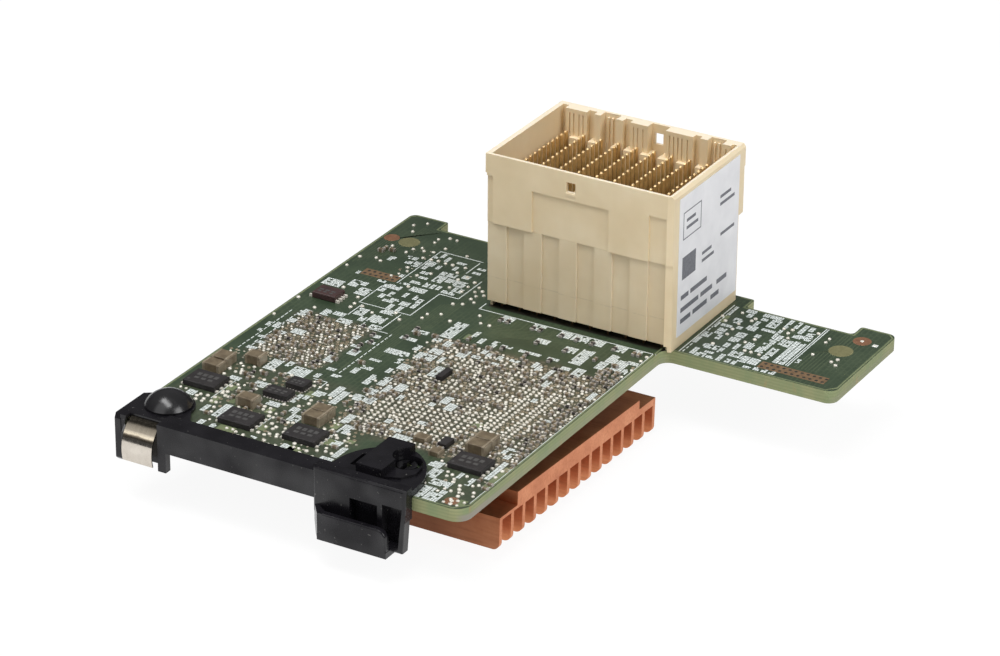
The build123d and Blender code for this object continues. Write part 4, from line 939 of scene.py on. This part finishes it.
# ------------------------------------------------------------------ underside
KEEP_LOW = [(-23.9, -10.1, -30.4, -15.1), (2.7, 28.3, -36.8, -11.2), (-8.8, -4.1, -36.7, -29.0), (-3.6, 1.1, -36.7, -29.0), (35.3, 40.0, 5.8, 13.5),
            (-7.7, -2.3, -14.2, -10.6), (-20.2, -14.8, 1.8, 6.2), (40.3, 46.7, 4.8, 11.2), (-26, -17, -57, -48), (-20, 21.4, -57, -54.9), (13.6, 19.2, -53, -47)]
KEEP_LOW += [(x - 3.5, x + 3.5, y - 3.5, y + 3.5) for x, y in ((-21.3, -41.5), (-12.5, -44.5), (-4.2, -44.5))]
tin_low = Build()
for k in range(10):
    for j in range(15):
        x, y = 2.0 + 3.0 * k, 1.65 + 1.33 * j
        tin_low.ring(x, y, 0.42, 0.2, -2.0 - Z, -0.03, 10)
        tin_low.dome(x, y, 0.2, -2.0 - Z, -0.35, 7)
        take(x - 0.5, x + 0.5, y - 0.5, y + 0.5, "low")
for region, count in (((-25.5, 2.0, -53.0, -8.0), 70), ((-25.0, -4.0, -6.0, 18.0), 50), ((33.0, 55.0, 3.0, 18.5), 40), ((3.0, 28.5, -10.5, -1.0), 36), ((-18.0, 28.0, -53.5, -38.0), 50)):
    x0, x1, y0, y1 = region
    for _ in range(count):
        x = x0 + 0.5 * round(rng.uniform(0, (x1 - x0) / 0.5))
        y = y0 + 0.5 * round(rng.uniform(0, (y1 - y0) / 0.5))
        tiny(x, y, rng.random() < 0.5, rng.choice("ccr"), "low")
for region, pitch in (((-25.6, 28.4, -54.0, -1.0), 1.25), ((-25.6, -4.0, 0.0, 18.6), 1.7), ((33.6, 55.6, 3.0, 18.6), 1.7)):
    x0, x1, y0, y1 = region
    for j in range(int((y1 - y0) / pitch)):
        for i in range(int((x1 - x0) / pitch)):
            x, y = x0 + pitch * i + rng.uniform(-0.2, 0.2), y0 + pitch * j + rng.uniform(-0.2, 0.2)
            if rng.random() < 0.6 and free(x - 0.2, x + 0.2, y - 0.2, y + 0.2, "low"):
                tin_low.dome(x, y, 0.19, -2.0 - Z, -0.06, 6)
                take(x - 0.25, x + 0.25, y - 0.25, y + 0.25, "low")
tin_low.piece("underside_solder", M_TIN)

dots.piece("solder_dots", M_TIN)
rings.piece("covered_vias", M_RING)
holes.piece("via_holes", M_HOLE)
silk.piece("printed_blocks", M_SILK)
tan.piece("tiny_capacitor_bodies", M_TINY)
ends.piece("plated_ends", M_TERM)
caps.piece("large_plated_ends", M_CAPEND)
res.piece("tiny_resistor_bodies", M_RES)
lands.piece("solder_lands", M_LAND)
pours.piece("bare_laminate_marks", M_POUR)
tracks.piece("covered_tracks", M_TRACK)

# ------------------------------------------------------------ floor, light, camera
fm, nt, fb = new_mat("studio_floor")
fn = noise(nt, coords(nt, 1.0), 3.0, 2.0)
nt.links.new(ramp(nt, fn, [(0.3, (0.095, 0.095, 0.095)), (0.7, (0.105, 0.105, 0.105))]), fb.inputs["Base Color"])
fb.inputs["Roughness"].default_value = 0.9
fb.inputs["Specular IOR Level"].default_value = 0.0
fb.inputs["Emission Color"].default_value = (1.0, 1.0, 1.0, 1.0)
fb.inputs["Emission Strength"].default_value = 0.92
me = bpy.data.meshes.new("studio_floor")
s = 4.0
me.from_pydata([(-s, -s, -0.0002), (s, -s, -0.0002), (s, s, -0.0002), (-s, s, -0.0002)], [], [(0, 1, 2, 3)])
floor = bpy.data.objects.new("studio_floor", me)
me.materials.append(fm)
bpy.context.scene.collection.objects.link(floor)

world = bpy.data.worlds.new("studio_world")
bpy.context.scene.world = world
world.use_nodes = True
wt = world.node_tree
bg = wt.nodes["Background"]
wc = wt.nodes.new("ShaderNodeTexCoord")
up = axis_of(wt, wc.outputs["Generated"], 2)
wt.links.new(ramp(wt, up, [(0.0, (0.05, 0.05, 0.052)), (0.22, (0.10, 0.10, 0.104)), (0.55, (0.31, 0.31, 0.31)), (1.0, (0.43, 0.43, 0.42))]), bg.inputs["Color"])
bg.inputs["Strength"].default_value = 1.0


def area(name, loc, target, size, power, size_y=None):
    d = bpy.data.lights.new(name, "AREA")
    d.energy = power
    d.size = size
    if size_y:
        d.shape = "RECTANGLE"
        d.size_y = size_y
    o = bpy.data.objects.new(name, d)
    o.location = loc
    o.rotation_euler = (Vector(target) - Vector(loc)).to_track_quat("-Z", "Y").to_euler()
    bpy.context.scene.collection.objects.link(o)


area("key_box", (0.72, -0.10, 0.55), (0, 0, 0.01), 0.45, 3.2)
area("top_box", (-0.08, -0.20, 0.85), (0, 0, 0.01), 0.70, 5.0, 0.24)
area("front_fill", (-0.25, -0.75, 0.75), (0, 0, 0.015), 0.8, 2.4)

cam = bpy.data.cameras.new("camera")
cam.sensor_fit = "HORIZONTAL"
cam.sensor_width = 36.0
cam.lens = 147.377
cam.clip_start = 0.01
cam.clip_end = 20.0
co = bpy.data.objects.new("camera", cam)
R = ((0.86478, 0.5021, 0.00709), (-0.22817, 0.38031, 0.89627), (0.44732, -0.7767, 0.44345))
co.matrix_world = Matrix((
    (R[0][0], R[1][0], R[2][0], 0.261271),
    (R[0][1], R[1][1], R[2][1], -0.456490),
    (R[0][2], R[1][2], R[2][2], 0.281069),
    (0, 0, 0, 1)))
bpy.context.scene.collection.objects.link(co)
bpy.context.scene.camera = co
bpy.context.scene.view_settings.view_transform = "Standard"
